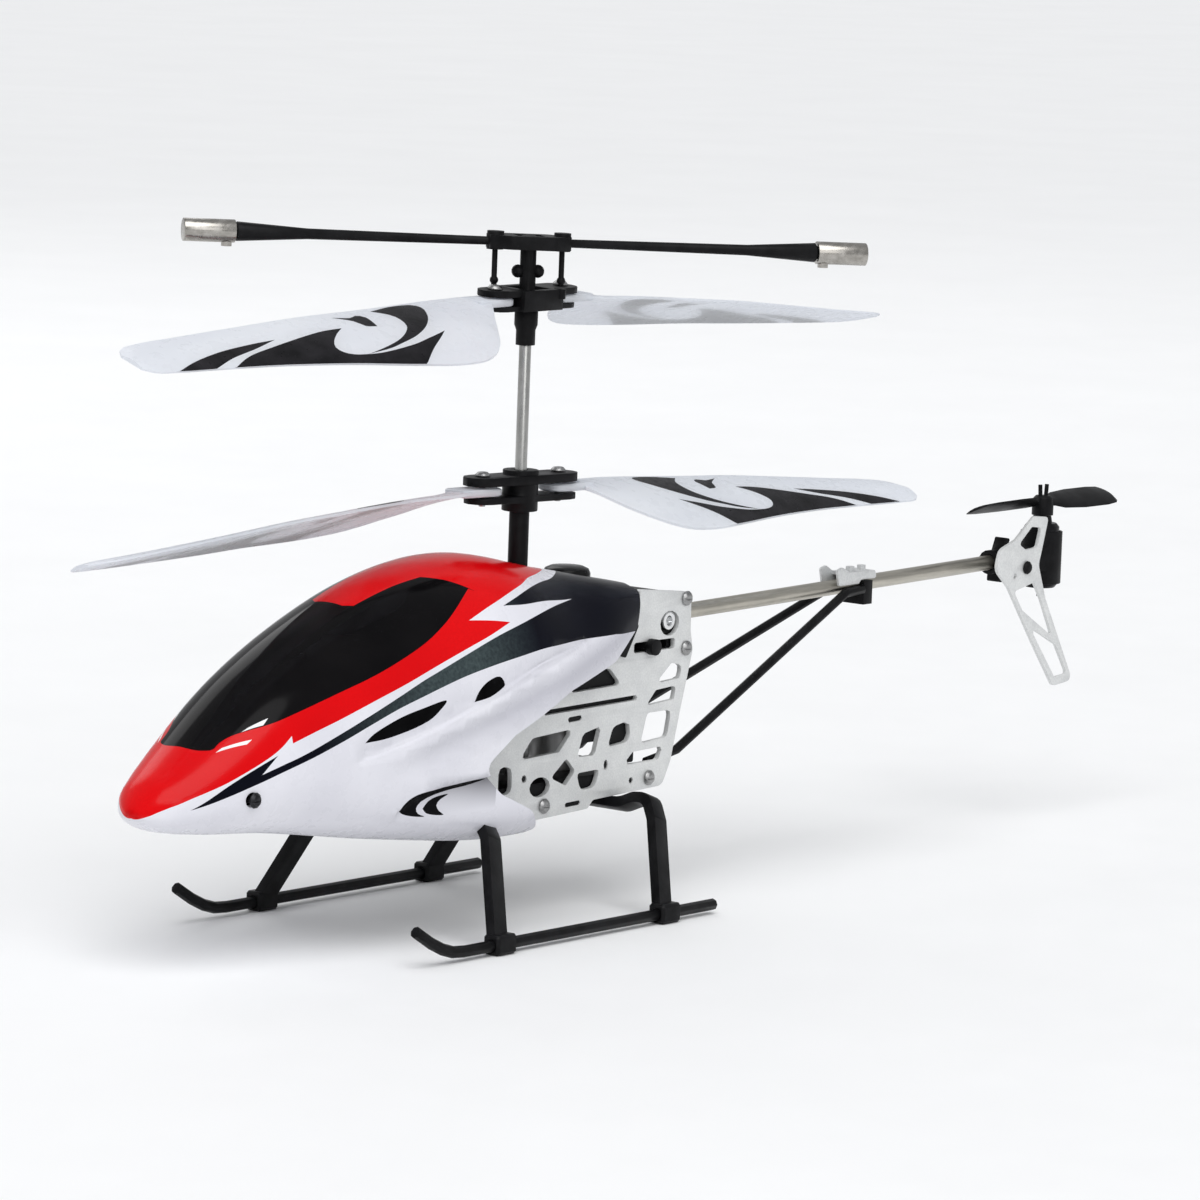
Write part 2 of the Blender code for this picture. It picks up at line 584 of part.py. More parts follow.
def build_power_switch():
    """Slide switch behind the port frame's slot. Its slider moves along X."""
    body = box("switch_body", (16.4, -8.45, 34.8), (26.7, -5.4, 38.2), STEEL)
    cut(body, box("switch_channel", (17.2, -9.5, 36.75), (25.8, -6.7, 38.05)))
    stem = box("switch_slider", (19.3, -9.9, 36.9), (21.1, -6.9, 37.9), BLACK_PLASTIC)
    knob = rod("switch_knob", (20.2, -9.75, 37.4), (20.2, -11.0, 37.4), 1.25, sides=14)
    fuse(stem, knob)


# ---------------------------------------------------------------- skids, struts and tail

def build_landing_gear():
    for end, foot_x in STRUT_FEET_X.items():
        strut = slanted_band(f"{end}_strut", end, BLACK_PLASTIC)
        sockets, bores = [], []
        for side in (-1, 1):
            y = side * SKID_HALF_TRACK
            socket = box(f"{end}_socket", (foot_x - 2.2, y - 1.5, -SKID_DROP), (foot_x + 2.2, y + 1.5, 1.6))
            edge = socket.modifiers.new("chamfer", "BEVEL")
            edge.width = 0.4 * MM
            edge.segments = 1
            sockets.append(socket)
            bore = rod(f"{end}_bore", (foot_x - 9, y, 0), (foot_x + 9, y, 0), SKID_RADIUS + GAP, sides=12)
            bores.append(bore)
        cut(fuse(strut, *sockets), *bores)
    for side, name in ((-1, "left"), (1, "right")):
        y = side * SKID_HALF_TRACK
        route = [(21, y, 0), (-37, y, 0), (-39.6, y, 0.2), (-42, y, 0.9), (-44.6, y, 2.1), (-48, y, 4.1)]
        build_bent_rod(f"{name}_skid", route, SKID_RADIUS)


def build_bent_rod(name, route, radius):
    """Round rod along straight runs, as one closed mesh."""
    curve = bpy.data.curves.new(name, "CURVE")
    curve.dimensions = "3D"
    curve.bevel_depth = radius * MM
    curve.bevel_resolution = 2
    curve.use_fill_caps = True
    spline = curve.splines.new("POLY")
    spline.points.add(len(route) - 1)
    for point, (x, y, z) in zip(spline.points, route):
        point.co = (*place(x, y, z), 1)
    return adopt(name, curve, BLACK_PLASTIC, (0, 0, 0))


def on_boom(x):
    """Height of the boom's centre line at x."""
    share = (x - BOOM_START[0]) / (BOOM_END[0] - BOOM_START[0])
    return BOOM_START[2] + share * (BOOM_END[2] - BOOM_START[2])


def build_tail_boom():
    run = Vector(BOOM_END) - Vector(BOOM_START)
    lie_back = run.to_track_quat("Z", "Y").to_euler()
    length = run.length
    turned(
        "tail_boom", [(BOOM_RADIUS, length), (BOOM_RADIUS, 0), (0.8, 0), (0.8, length)], BOOM_START,
        SILVER, 20, ring=True, rotation=lie_back,
    )
    clamp = box("brace_clamp", (84.3, -2.2, 37.7), (86.6, 2.2, on_boom(86) + 0.7), BLACK_PLASTIC)
    bore = rod("clamp_bore", BOOM_START, BOOM_END, BOOM_RADIUS + GAP)
    cut(clamp, bore)
    for side, name in ((-1, "left"), (1, "right")):
        route = [(22.8, side * 7.6, 19.4), (26.0, side * 7.7, 19.9), (29.0, side * 8.6, 20.8),
                 (79.6, side * 2.05, 39.9), (84.15, side * 2.05, 40.15)]
        build_bent_rod(f"{name}_brace_rod", route, 0.75)
    build_stabilizer_bracket()


def build_stabilizer_bracket():
    """Folded sheet saddle that sits on the boom ahead of and above the brace clamp."""
    z = on_boom(86)
    cheek = [(78.2, z + 0.3, 0.3), (77.6, z + 2.9, 0.4), (79.0, z + 3.2, 0.3), (80.8, z + 2.2, 0.5),
             (87.6, z + 2.2, 0.4), (88.2, z + 0.9, 0.4), (84.0, z + 0.9, 0.3), (83.4, z + 0.3, 0.2)]
    bracket = side_plate("stabilizer_bracket", [rounded(cheek, 2)], 3.7, 0, SILVER)
    inside = box("bracket_inside", (70, -1.4, z - 5), (100, 1.4, z + 1.7))
    notch = box("bracket_notch", (75, -1.4, z + 1.6), (80.6, 1.4, z + 5))
    cut(bracket, inside, notch)
    bolts = []
    for x in (83.4, 86.4):
        bolts.append(rod("bracket_bolt", (x, 0, z + 2.0), (x, 0, z + 2.9), 0.75, sides=6))
    fuse(bracket, *bolts)


def build_tail_end():
    """Mount moulded round the boom's end and the motor, with the fin plate on its port side."""
    end_x, _, end_z = BOOM_END
    mount = rod("tail_motor_mount", (end_x - 2.2, 0, end_z), (end_x + 2.6, 0, end_z), 2.0, BLACK_PLASTIC)
    hook_outline = [
        (end_x - 0.9, end_z - 3.2, 0.2), (end_x + 0.5, end_z - 3.4, 0.2), (end_x + 0.7, end_z, 0),
        (end_x + 2.2, end_z + 3.7, 0.2), (end_x + 1.0, end_z + 3.9, 0.2), (end_x - 0.7, end_z, 0),
    ]
    hook = side_plate("mount_hooks", [rounded(hook_outline, 1)], 2.2, 0)
    arm = box("mount_arm", (end_x + 1.2, -2.9, end_z - 2.0), (TAIL_X - 1.5, 1.2, end_z + 2.0))
    sleeve = rod("motor_sleeve", (TAIL_X, 0, 37.0), (TAIL_X, 0, 45.6), TAIL_MOTOR_RADIUS + 0.55, sides=20)
    fuse(mount, hook, arm, sleeve)
    boom_bore = rod("mount_boom_bore", BOOM_START, Vector(BOOM_END) + Vector((GAP, 0, 0)), BOOM_RADIUS + GAP)
    motor_bore = rod("motor_bore", (TAIL_X, 0, 30), (TAIL_X, 0, 50), TAIL_MOTOR_RADIUS + GAP, sides=20)
    cut(mount, boom_bore, motor_bore)
    peg = rod("fin_peg", (126.5, -4.3, 40.6), (126.5, -1.5, 40.6), 0.55, sides=12)
    peg_head = turned(
        "fin_peg_head", [(0, 0.7), (0.7, 0.6), (1.1, 0.2), (1.1, 0), (0, 0)], (126.5, -4.15, 40.6),
        None, 12, rotation=(math.radians(90), 0, 0),
    )
    fuse(mount, peg, peg_head)
    turned(
        "tail_motor",
        [(0, 48.0), (1.5, 48.0), (1.7, 46.9), (2.4, 46.9), (2.9, 46.3), (2.9, 36.8), (2.5, 36.3), (0.5, 36.3),
         (0.4, 34.7), (0, 34.7)],
        (TAIL_X, 0, 0), BLACK_PLASTIC, 20,
    )


# Tail fin in side view
FIN_OUTLINE = (
    (128.3, 48.9, 0.9), (132.3, 48.5, 0.6), (131.0, 44.0, 3.0), (130.0, 40.8, 2.0), (132.4, 35.0, 4.0),
    (141.2, 20.8, 0.9), (135.7, 20.3, 1.0), (129.0, 28.4, 8.0), (121.8, 37.6, 3.0), (118.0, 40.8, 1.8),
    (119.0, 44.0, 1.8), (123.4, 45.4, 1.0),
)
FIN_WINDOWS = (
    ((124.2, 44.6, 0.4), (127.6, 47.2, 0.5), (130.4, 46.9, 0.5), (129.4, 43.7, 0.6), (126.2, 43.5, 0.5)),
    ((123.3, 36.9, 0.4), (129.0, 38.0, 0.6), (131.2, 35.0, 3.0), (134.7, 28.9, 0.3), (134.0, 29.0, 0.3),
     (125.9, 33.6, 0.8)),
    ((128.1, 30.8, 0.4), (136.0, 27.1, 0.5), (139.6, 22.0, 0.4), (136.0, 21.7, 0.4)),
)


def build_tail_fin():
    holes = [rounded(window, 2) for window in FIN_WINDOWS] + [oval(126.5, 40.6, 0.7, 0.7, 10), oval(123.4, 39.4, 0.5, 0.5, 8)]
    side_plate("tail_fin", [rounded(FIN_OUTLINE)] + holes, 0.6, -3.75, SILVER)


# ---------------------------------------------------------------- rotor blades

def foil_loft(name, stations, finish, at, turn, points=6):
    """Twisted, arched blade. A station is (radius, leading, trailing, pitch, height, thickness, arch)."""
    bm = bmesh.new()
    rings = []
    for radius, leading, trailing, pitch, height, thickness, arch in stations:
        ring = []
        for surface in (1, -1):
            steps = range(points + 1) if surface > 0 else range(points - 1, 0, -1)
            for step in steps:
                share = step / points
                along = -trailing + (leading + trailing) * share
                bow = 4 * share * (1 - share)
                lift = arch * bow + surface * thickness / 2 * (0.35 + 0.65 * bow)
                y = along * math.cos(pitch) - lift * math.sin(pitch)
                z = height + along * math.sin(pitch) + lift * math.cos(pitch)
                ring.append(bm.verts.new(Vector((radius, y, z)) * MM))
        rings.append(ring)
    count = len(rings[0])
    for near, far in zip(rings, rings[1:]):
        for i in range(count):
            following = (i + 1) % count
            bm.faces.new((near[i], far[i], far[following], near[following]))
    bm.faces.new(rings[0])
    bm.faces.new(list(reversed(rings[-1])))
    return adopt(name, mesh_of(bm, name, smooth=True), finish, place(*at), (0, 0, turn))


# Main blade, from root to tip: radius, leading offset, trailing offset, pitch in degrees, droop
BLADE_STATIONS = (
    (11.0, 2.2, 2.6, 6.0, -0.1), (13.0, 2.8, 4.8, 13.0, -0.5), (15.2, 3.1, 7.6, 16.5, -0.9),
    (18.4, 3.1, 11.2, 19.0, -1.1), (22.5, 2.9, 13.4, 21.0, -1.25), (28.0, 2.9, 13.4, 22.0, -1.6),
    (36.0, 3.4, 11.3, 22.8, -2.3), (47.0, 4.3, 8.2, 23.0, -3.3), (59.0, 5.1, 5.2, 22.5, -4.6),
    (71.0, 5.7, 3.6, 19.5, -5.6), (79.0, 5.8, 2.8, 17.2, -6.1), (82.6, 4.9, 2.2, 16.5, -6.25),
    (84.0, 3.2, 1.0, 16.0, -6.3),
)
# How far each rotor's blades hang below or above their roots: offset of the pair, rise of the tips
BLADE_SET = {
    "lower_blade_a": (0.2, 0.9), "lower_blade_b": (0.2, -0.9),
    "upper_blade_a": (0.0, -0.6), "upper_blade_b": (0.0, 0.6),
}


def main_blade(name, rotor_z, turn, hand):
    """Blade along local +X: hand +1 leads on its left side, -1 on its right."""
    offset, rise = BLADE_SET[name]
    stations = []
    for radius, leading, trailing, pitch, droop in BLADE_STATIONS:
        chord = leading + trailing
        ahead, behind = (leading, trailing) if hand > 0 else (trailing, leading)
        thickness = 1.15 - 0.5 * (radius - 11) / (ROTOR_RADIUS - 11)
        height = droop + offset * min((radius - 11) / 7, 1) + rise * radius / ROTOR_RADIUS
        stations.append((radius, ahead, behind, hand * math.radians(pitch), height, thickness, 0.05 * chord))
    foil = foil_loft(name + "_foil", stations, None, (0, 0, rotor_z), turn)
    radius = BLADE_SCREW_RADIUS_AT
    root = [(radius - 2.7, -2.5, 2.4), (radius - 2.7, 2.5, 2.4), (13.2, 2.2, 0.5), (13.2, -2.2, 0.5)]
    tongue = plate(
        name, [rounded(root, 4), oval(radius, 0, 0.7, 0.7, 12)], 1.1, (0, 0, rotor_z), BLADE_WHITE,
        (0, 0, turn),
    )
    return fuse(tongue, foil)


def blade_screw(name, turn, top, bottom):
    x, y, _ = turned_about((BLADE_SCREW_RADIUS_AT, 0, 0), turn)
    length = top - bottom
    profile = [(0, 0.7), (0.75, 0.6), (1.15, 0.2), (1.15, 0), (0.5, 0), (0.5, -length), (0, -length)]
    return turned(name, profile, (x, y, top), STEEL, 12)


def build_blade_pair(rotor, rotor_z, turn, hand, screw_top, screw_bottom):
    """Both blades of a rotor with their screws, each blade on its own folding axis."""
    pieces = []
    for letter, extra in (("a", 0.0), ("b", math.pi)):
        blade = main_blade(f"{rotor}_blade_{letter}", rotor_z, turn + extra, hand)
        hinge = turned_about((BLADE_SCREW_RADIUS_AT, 0, rotor_z), turn + extra)
        pieces.append(pivot(f"{rotor}_blade_{letter}_fold", hinge, blade))
        pieces.append(blade_screw(f"{rotor}_blade_screw_{letter}", turn + extra, screw_top, screw_bottom))
    return pieces


def capsule(half_length, half_width, steps=3):
    """Long outline with round ends, about the origin."""
    corners = [(-half_length, -half_width), (half_length, -half_width), (half_length, half_width),
               (-half_length, half_width)]
    return rounded([(x, y, half_width - 0.01) for x, y in corners], steps)


def build_lower_rotor():
    z = LOWER_ROTOR_Z
    turn = LOWER_ROTOR_TURN
    hub = plate(
        "lower_hub", [capsule(10.6, 2.8)], 1.3, (0, 0, z + 1.55), BLACK_PLASTIC, (0, 0, turn))
    under = plate("lower_hub_under", [capsule(10.4, 2.6)], 0.9, (0, 0, z - 1.3), None, (0, 0, turn))
    boss = rod("lower_hub_boss", (0, 0, z - 3.2), (0, 0, z + 2.9), 2.7)
    bore = rod("lower_hub_bore", (0, 0, z - 9), (0, 0, z + 2.2), OUTER_MAST_RADIUS + GAP)
    shaft_bore = rod("lower_hub_shaft_bore", (0, 0, z - 9), (0, 0, z + 9), INNER_SHAFT_RADIUS + 0.15)
    holes = []
    for side in (-1, 1):
        x, y, _ = turned_about((side * BLADE_SCREW_RADIUS_AT, 0, 0), turn)
        holes.append(rod("lower_screw_hole", (x, y, z - 9), (x, y, z + 9), 0.6, sides=12))
    cut(fuse(hub, under, boss), bore, shaft_bore, *holes)
    mast = turned(
        "outer_mast",
        [(OUTER_MAST_RADIUS, z + 2.1), (OUTER_MAST_RADIUS, 31.9), (INNER_SHAFT_RADIUS + 0.15, 31.9),
         (INNER_SHAFT_RADIUS + 0.15, z + 2.1)],
        (0, 0, 0), BLACK_PLASTIC, 16, ring=True,
    )
    gear = build_gear("upper_gear", UPPER_GEAR_Z, OUTER_MAST_RADIUS + GAP)
    blades = build_blade_pair("lower", z, turn, 1, z + 2.3, z - 2.2)
    pivot("lower_rotor_axis", (0, 0, z), hub, mast, gear, *blades)


def build_upper_rotor():
    z = UPPER_ROTOR_Z
    shaft = rod("inner_shaft", (0, 0, 14.4), (0, 0, z - 2.4), INNER_SHAFT_RADIUS, STEEL)
    gear = build_gear("lower_gear", LOWER_GEAR_Z, INNER_SHAFT_RADIUS + GAP)
    head = turned(
        "rotor_head",
        [(0, 99.2), (1.0, 99.2), (1.2, 98.9), (1.2, z - 1.0), (1.75, z - 1.8), (1.75, 86.0), (1.45, 85.2),
         (1.45, 83.0), (INNER_SHAFT_RADIUS + GAP, 83.0), (INNER_SHAFT_RADIUS + GAP, z - 2.2), (0, z - 2.2)],
        (0, 0, 0), BLACK_PLASTIC, 16,
    )
    trunnion = rod("grip_trunnion", (-3.5, 0, z), (3.5, 0, z), 0.5, sides=12)
    balls = [ball("side_ball", turned_about((x, 0, 93.9), FLYBAR_TURN), 1.0) for x in (-1.5, 1.5)]
    pin_ends = [turned_about((0, y, FLYBAR_Z), FLYBAR_TURN) for y in (-2.9, 2.9)]
    flybar_pin = rod("flybar_pin", *pin_ends, 0.45, sides=12)
    fuse(head, trunnion, *balls, flybar_pin)
    grip = build_blade_grip()
    blades = build_blade_pair("upper", z, 0.0, -1, z + 1.8, z - 1.5)
    yoke = pivot("grip_pivot", (0, 0, z), grip, *blades)
    yoke.rotation_euler = (GRIP_ROLL, 0, 0)
    pivot("upper_rotor_axis", (0, 0, z), shaft, gear, head, bpy.data.objects["grip_pivot"])
    build_flybar()


def build_blade_grip():
    """Seesaw yoke: a ring round the head, a fork at each end and two control horns."""
    z = UPPER_ROTOR_Z
    grip = plate("blade_grip", [capsule(10.2, 2.6)], 0.9, (0, 0, z + 1.25), BLACK_PLASTIC)
    lower = plate("grip_lower", [capsule(9.8, 2.5)], 0.7, (0, 0, z - 1.0))
    ring = box("grip_ring", (-4.5, -3.3, z - 1.35), (4.5, 3.3, z + 1.7))
    tools = [lower, ring]
    for side in (-1, 1):
        x, y, _ = turned_about((side * LINK_REACH, 0, 0), FLYBAR_TURN)
        tools.append(rod("grip_horn", (x * 0.8, y * 0.8, z + 1.2), (x, y, z + 1.2), 0.6))
        tools.append(rod("grip_horn_seat", (x, y, z + 0.3), (x, y, z + 1.75), 0.75, sides=12))
    fuse(grip, *tools)
    window = box("grip_window", (-2.6, -2.3, z - 5), (2.6, 2.3, z + 5))
    bore = rod("trunnion_bore", (-3.8, 0, z), (3.8, 0, z), 0.6, sides=12)
    holes = [
        rod("grip_screw_hole", (x, 0, z - 9), (x, 0, z + 9), 0.6, sides=12)
        for x in (-BLADE_SCREW_RADIUS_AT, BLADE_SCREW_RADIUS_AT)
    ]
    return cut(grip, window, bore, *holes)


def build_flybar():
    """Stabiliser bar with its weights, teetering on the head, and the two links down to the grip."""
    z = FLYBAR_Z
    lean = (Matrix.Rotation(FLYBAR_TURN, 3, "Z") @ Matrix.Rotation(FLYBAR_TILT, 3, "Y")).to_euler()
    hub = plate("flybar", [rounded([(-6.2, -1.5, 0.6), (-3.4, -3.3, 0.8), (3.4, -3.3, 0.8), (6.2, -1.5, 0.6),
                                    (6.2, 1.5, 0.6), (3.4, 3.3, 0.8), (-3.4, 3.3, 0.8), (-6.2, 1.5, 0.6)], 2)],
                2.0, (0, 0, z), BLACK_PLASTIC, lean)

    def along(reach, drop=0.0):
        """Point at that distance along the leaning bar."""
        spot = Matrix.Rotation(FLYBAR_TURN, 3, "Z") @ Matrix.Rotation(FLYBAR_TILT, 3, "Y") @ Vector((reach, 0, -drop))
        return (spot.x, spot.y, spot.z + z)

    arms, weights = [], []
    for side, letter in ((1, "a"), (-1, "b")):
        arms.append(rod("flybar_thin", along(side * 5.6), along(side * 34), 0.62, None, 0.8, sides=12))
        arms.append(rod("flybar_thick", along(side * 33.5), along(side * 44.0), 0.8, None, 1.45, sides=12))
        arms.append(rod("flybar_end", along(side * 43.8), along(side * 50.4), 0.95, sides=12))
        arms.append(rod("link_boss", along(side * LINK_REACH, 1.2), along(side * LINK_REACH, -1.5), 1.3, sides=12))
        weight = rod(
            f"flybar_weight_{letter}", along(side * 44.3), along(side * FLYBAR_HALF_LENGTH), 1.7, STEEL, sides=20)
        fuse(weight, rod("weight_nub", along(side * 45.4, 1.2), along(side * 45.4, 2.2), 0.8, sides=12))
        cut(weight, rod("weight_bore", along(side * 40), along(side * 50.6), 0.95 + GAP, sides=12))
        weights.append(weight)
    fuse(hub, *arms)
    opening = box("flybar_opening", (-2.1, -1.75, z - 4), (2.1, 1.75, z + 4))
    opening.rotation_euler = (0, 0, FLYBAR_TURN)
    pin_bore = rod("flybar_pin_bore", turned_about((0, -3.1, z), FLYBAR_TURN), turned_about((0, 3.1, z), FLYBAR_TURN),
                   0.55, sides=12)
    link_slots = []
    links = []
    for side, letter in ((1, "a"), (-1, "b")):
        x, y, _ = turned_about((side * LINK_REACH, 0, 0), FLYBAR_TURN)
        link_slots.append(rod("link_slot", (x, y, z - 4), (x, y, z + 0.55), 0.85, sides=12))
        link = rod(f"link_rod_{letter}", (x, y, UPPER_ROTOR_Z + 2.1), (x, y, z), 0.42, BLACK_PLASTIC, sides=10)
        fuse(link, ball("link_eye", (x, y, UPPER_ROTOR_Z + 2.75), 0.65))
        links.append(pivot(f"link_{letter}_pivot", (x, y, z), link))
    cut(hub, opening, pin_bore, *link_slots)
    pivot("flybar_pivot", (0, 0, z), hub, *weights, *links)
    bpy.data.objects["flybar_pivot"].parent = bpy.data.objects["upper_rotor_axis"]
    bpy.data.objects["flybar_pivot"].matrix_parent_inverse = Matrix.Translation(
        -bpy.data.objects["upper_rotor_axis"].location)


def build_tail_rotor():
    z = TAIL_ROTOR_Z
    hub = turned(
        "tail_rotor",
        [(0, 1.1), (1.2, 1.1), (1.6, 0.7), (1.8, -0.6), (1.8, -2.1), (0, -2.1)], (TAIL_X, 0, z), BLACK_PLASTIC, 16,
    )
    tools = []
    for extra in (0.0, math.pi):
        stations = [
            (0.8, 0.8, 0.8, math.radians(40), 0, 0.9, 0.0), (4.0, 1.9, 2.1, math.radians(34), 0, 0.8, 0.1),
            (9.0, 2.5, 2.8, math.radians(29), 0, 0.7, 0.2), (15.5, 2.6, 2.9, math.radians(27), 0, 0.6, 0.2),
            (18.2, 2.4, 2.6, math.radians(26), 0, 0.55, 0.15), (19.1, 1.8, 2.0, math.radians(26), 0, 0.5, 0.1),
            (TAIL_ROTOR_RADIUS, 1.2, 1.3, math.radians(26), 0, 0.4, 0.05),
        ]
        tools.append(foil_loft("tail_blade", stations, None, (TAIL_X, 0, z), extra, points=4))
        x = TAIL_X + 0.75 * math.cos(extra)
        tools.append(rod("tail_prong", (x, 0, z + 0.5), (x + 0.2 * math.cos(extra), 0, z + 2.9), 0.35, sides=8))
    fuse(hub, *tools)
    pivot("tail_rotor_axis", (TAIL_X, 0, z), hub)


# ---------------------------------------------------------------- assembly

build_canopy()
build_side_frames()
build_upper_block()
build_lower_block()
build_drive_motor("front", -GEAR_CENTRES, UPPER_GEAR_Z)
build_drive_motor("rear", GEAR_CENTRES, LOWER_GEAR_Z)
build_electronics()
build_power_switch()
build_landing_gear()
build_tail_boom()
build_tail_end()
build_tail_fin()
build_lower_rotor()
build_upper_rotor()
build_tail_rotor()
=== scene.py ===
"""Looks for the remote control helicopter: camera, light, paint, glazing, blade films and materials."""

import math

import bmesh
import bpy
import numpy as np
from mathutils import Matrix, Vector
from mathutils.geometry import delaunay_2d_cdt


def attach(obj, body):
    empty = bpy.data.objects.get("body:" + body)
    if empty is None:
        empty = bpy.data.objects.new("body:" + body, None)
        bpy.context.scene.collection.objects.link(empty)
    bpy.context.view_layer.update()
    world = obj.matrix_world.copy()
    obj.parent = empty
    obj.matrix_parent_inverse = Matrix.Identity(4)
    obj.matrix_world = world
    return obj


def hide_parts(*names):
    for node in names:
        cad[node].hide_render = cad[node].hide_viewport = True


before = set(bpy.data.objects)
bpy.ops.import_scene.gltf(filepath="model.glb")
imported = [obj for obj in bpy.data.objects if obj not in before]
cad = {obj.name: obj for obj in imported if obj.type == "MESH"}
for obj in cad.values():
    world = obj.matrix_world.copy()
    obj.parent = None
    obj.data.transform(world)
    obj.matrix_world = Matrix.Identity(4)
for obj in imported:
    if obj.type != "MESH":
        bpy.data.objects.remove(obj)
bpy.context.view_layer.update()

MM = 0.001
# The rotor mast's foot in the row frame, in millimetres
MAST_X, GROUND = -35.85, 1.3


def place(x, y, z):
    """Point given in millimetres from the mast's foot, in the row frame in metres."""
    return Vector(((x + MAST_X) * MM, y * MM, (z + GROUND) * MM))


def added(name, data):
    """New object in the scene."""
    obj = bpy.data.objects.new(name, data)
    bpy.context.scene.collection.objects.link(obj)
    return obj


def object_from(name, bm, finishes):
    """New object with the mesh and its materials."""
    mesh = bpy.data.meshes.new(name)
    bm.to_mesh(mesh)
    bm.free()
    for finish in finishes:
        mesh.materials.append(finish)
    return added(name, mesh)


def facing_along(direction):
    """Turn that points Z along the direction, so that a light shines back along it."""
    return Vector(direction).to_track_quat("Z", "Y").to_euler()


# ---- camera and stage

CAMERA_SPOT = (-739.93, -601.24, 171.12)  # millimetres from the mast's foot
CAMERA_BACK = (-0.775, -0.621, 0.1148)  # from the object towards the camera
CAMERA_LEVEL = (0.6256, -0.7802, 0.0)  # level, to the camera's right
CAMERA_ROLL = 2.05  # degrees
CAMERA_LENS = 194.63
CAMERA_SENSOR = 36.0
CAMERA_SHIFT = (0.0318, -0.0876)

FLOOR_RADIUS = 40.0
FLOOR_DROP = 0.0001
WORLD_TINT = (0.97, 0.98, 1.0)
WORLD_STRENGTH = 0.5
SUN_FROM = (-0.45, -0.42, 1.0)
SUN_STRENGTH = 1.75
SUN_SPREAD = 50  # degrees
LIGHT_AIM = (0.0, 0.0, 0.05)
# Name: place, width and height in metres, power in watts
SOFT_BOXES = {
    "side": ((-0.5, -0.75, 0.4), (0.45, 0.45), 1.1),
    "back": ((0.35, 0.9, 0.7), (0.9, 0.4), 1.6),
}


def build_camera():
    back = Vector(CAMERA_BACK).normalized()
    level = Vector(CAMERA_LEVEL).normalized()
    upright = back.cross(level)
    roll = math.radians(CAMERA_ROLL)
    right = level * math.cos(roll) + upright * math.sin(roll)
    up = upright * math.cos(roll) - level * math.sin(roll)
    data = bpy.data.cameras.new("camera")
    data.sensor_width = CAMERA_SENSOR
    data.lens = CAMERA_LENS
    data.shift_x, data.shift_y = CAMERA_SHIFT
    data.clip_start = 0.01
    camera = added("camera", data)
    turn = Matrix((right, up, right.cross(up))).transposed().to_4x4()
    camera.matrix_world = Matrix.Translation(place(*CAMERA_SPOT)) @ turn
    bpy.context.scene.camera = camera


def build_lights():
    """A broad sun overhead and two soft boxes."""
    data = bpy.data.lights.new("overhead", "SUN")
    data.energy = SUN_STRENGTH
    data.angle = math.radians(SUN_SPREAD)
    added("overhead", data).rotation_euler = facing_along(SUN_FROM)
    for name, (spot, size, power) in SOFT_BOXES.items():
        data = bpy.data.lights.new(name, "AREA")
        data.shape = "RECTANGLE"
        data.size, data.size_y = size
        data.energy = power
        light = added(name, data)
        light.location = spot
        light.rotation_euler = facing_along(Vector(spot) - Vector(LIGHT_AIM))


def build_stage():
    """Pale floor and even world light."""
    bm = bmesh.new()
    bmesh.ops.create_circle(bm, cap_ends=True, radius=FLOOR_RADIUS, segments=96)
    floor = object_from("floor", bm, [FLOOR])
    floor.location.z = -FLOOR_DROP
    world = bpy.data.worlds.new("studio")
    world.use_nodes = True
    tuned(world.node_tree.nodes["Background"], {"Color": (*WORLD_TINT, 1), "Strength": WORLD_STRENGTH})
    bpy.context.scene.world = world
    bpy.context.scene.view_settings.view_transform = "Standard"


# ---- materials

def tuned(node, settings):
    """The node or modifier with its settings: names with a capital are inputs."""
    for name, value in settings.items():
        if name[0].isupper():
            node.inputs[name.replace("_", " ")].default_value = value
        else:
            setattr(node, name, value)
    return node


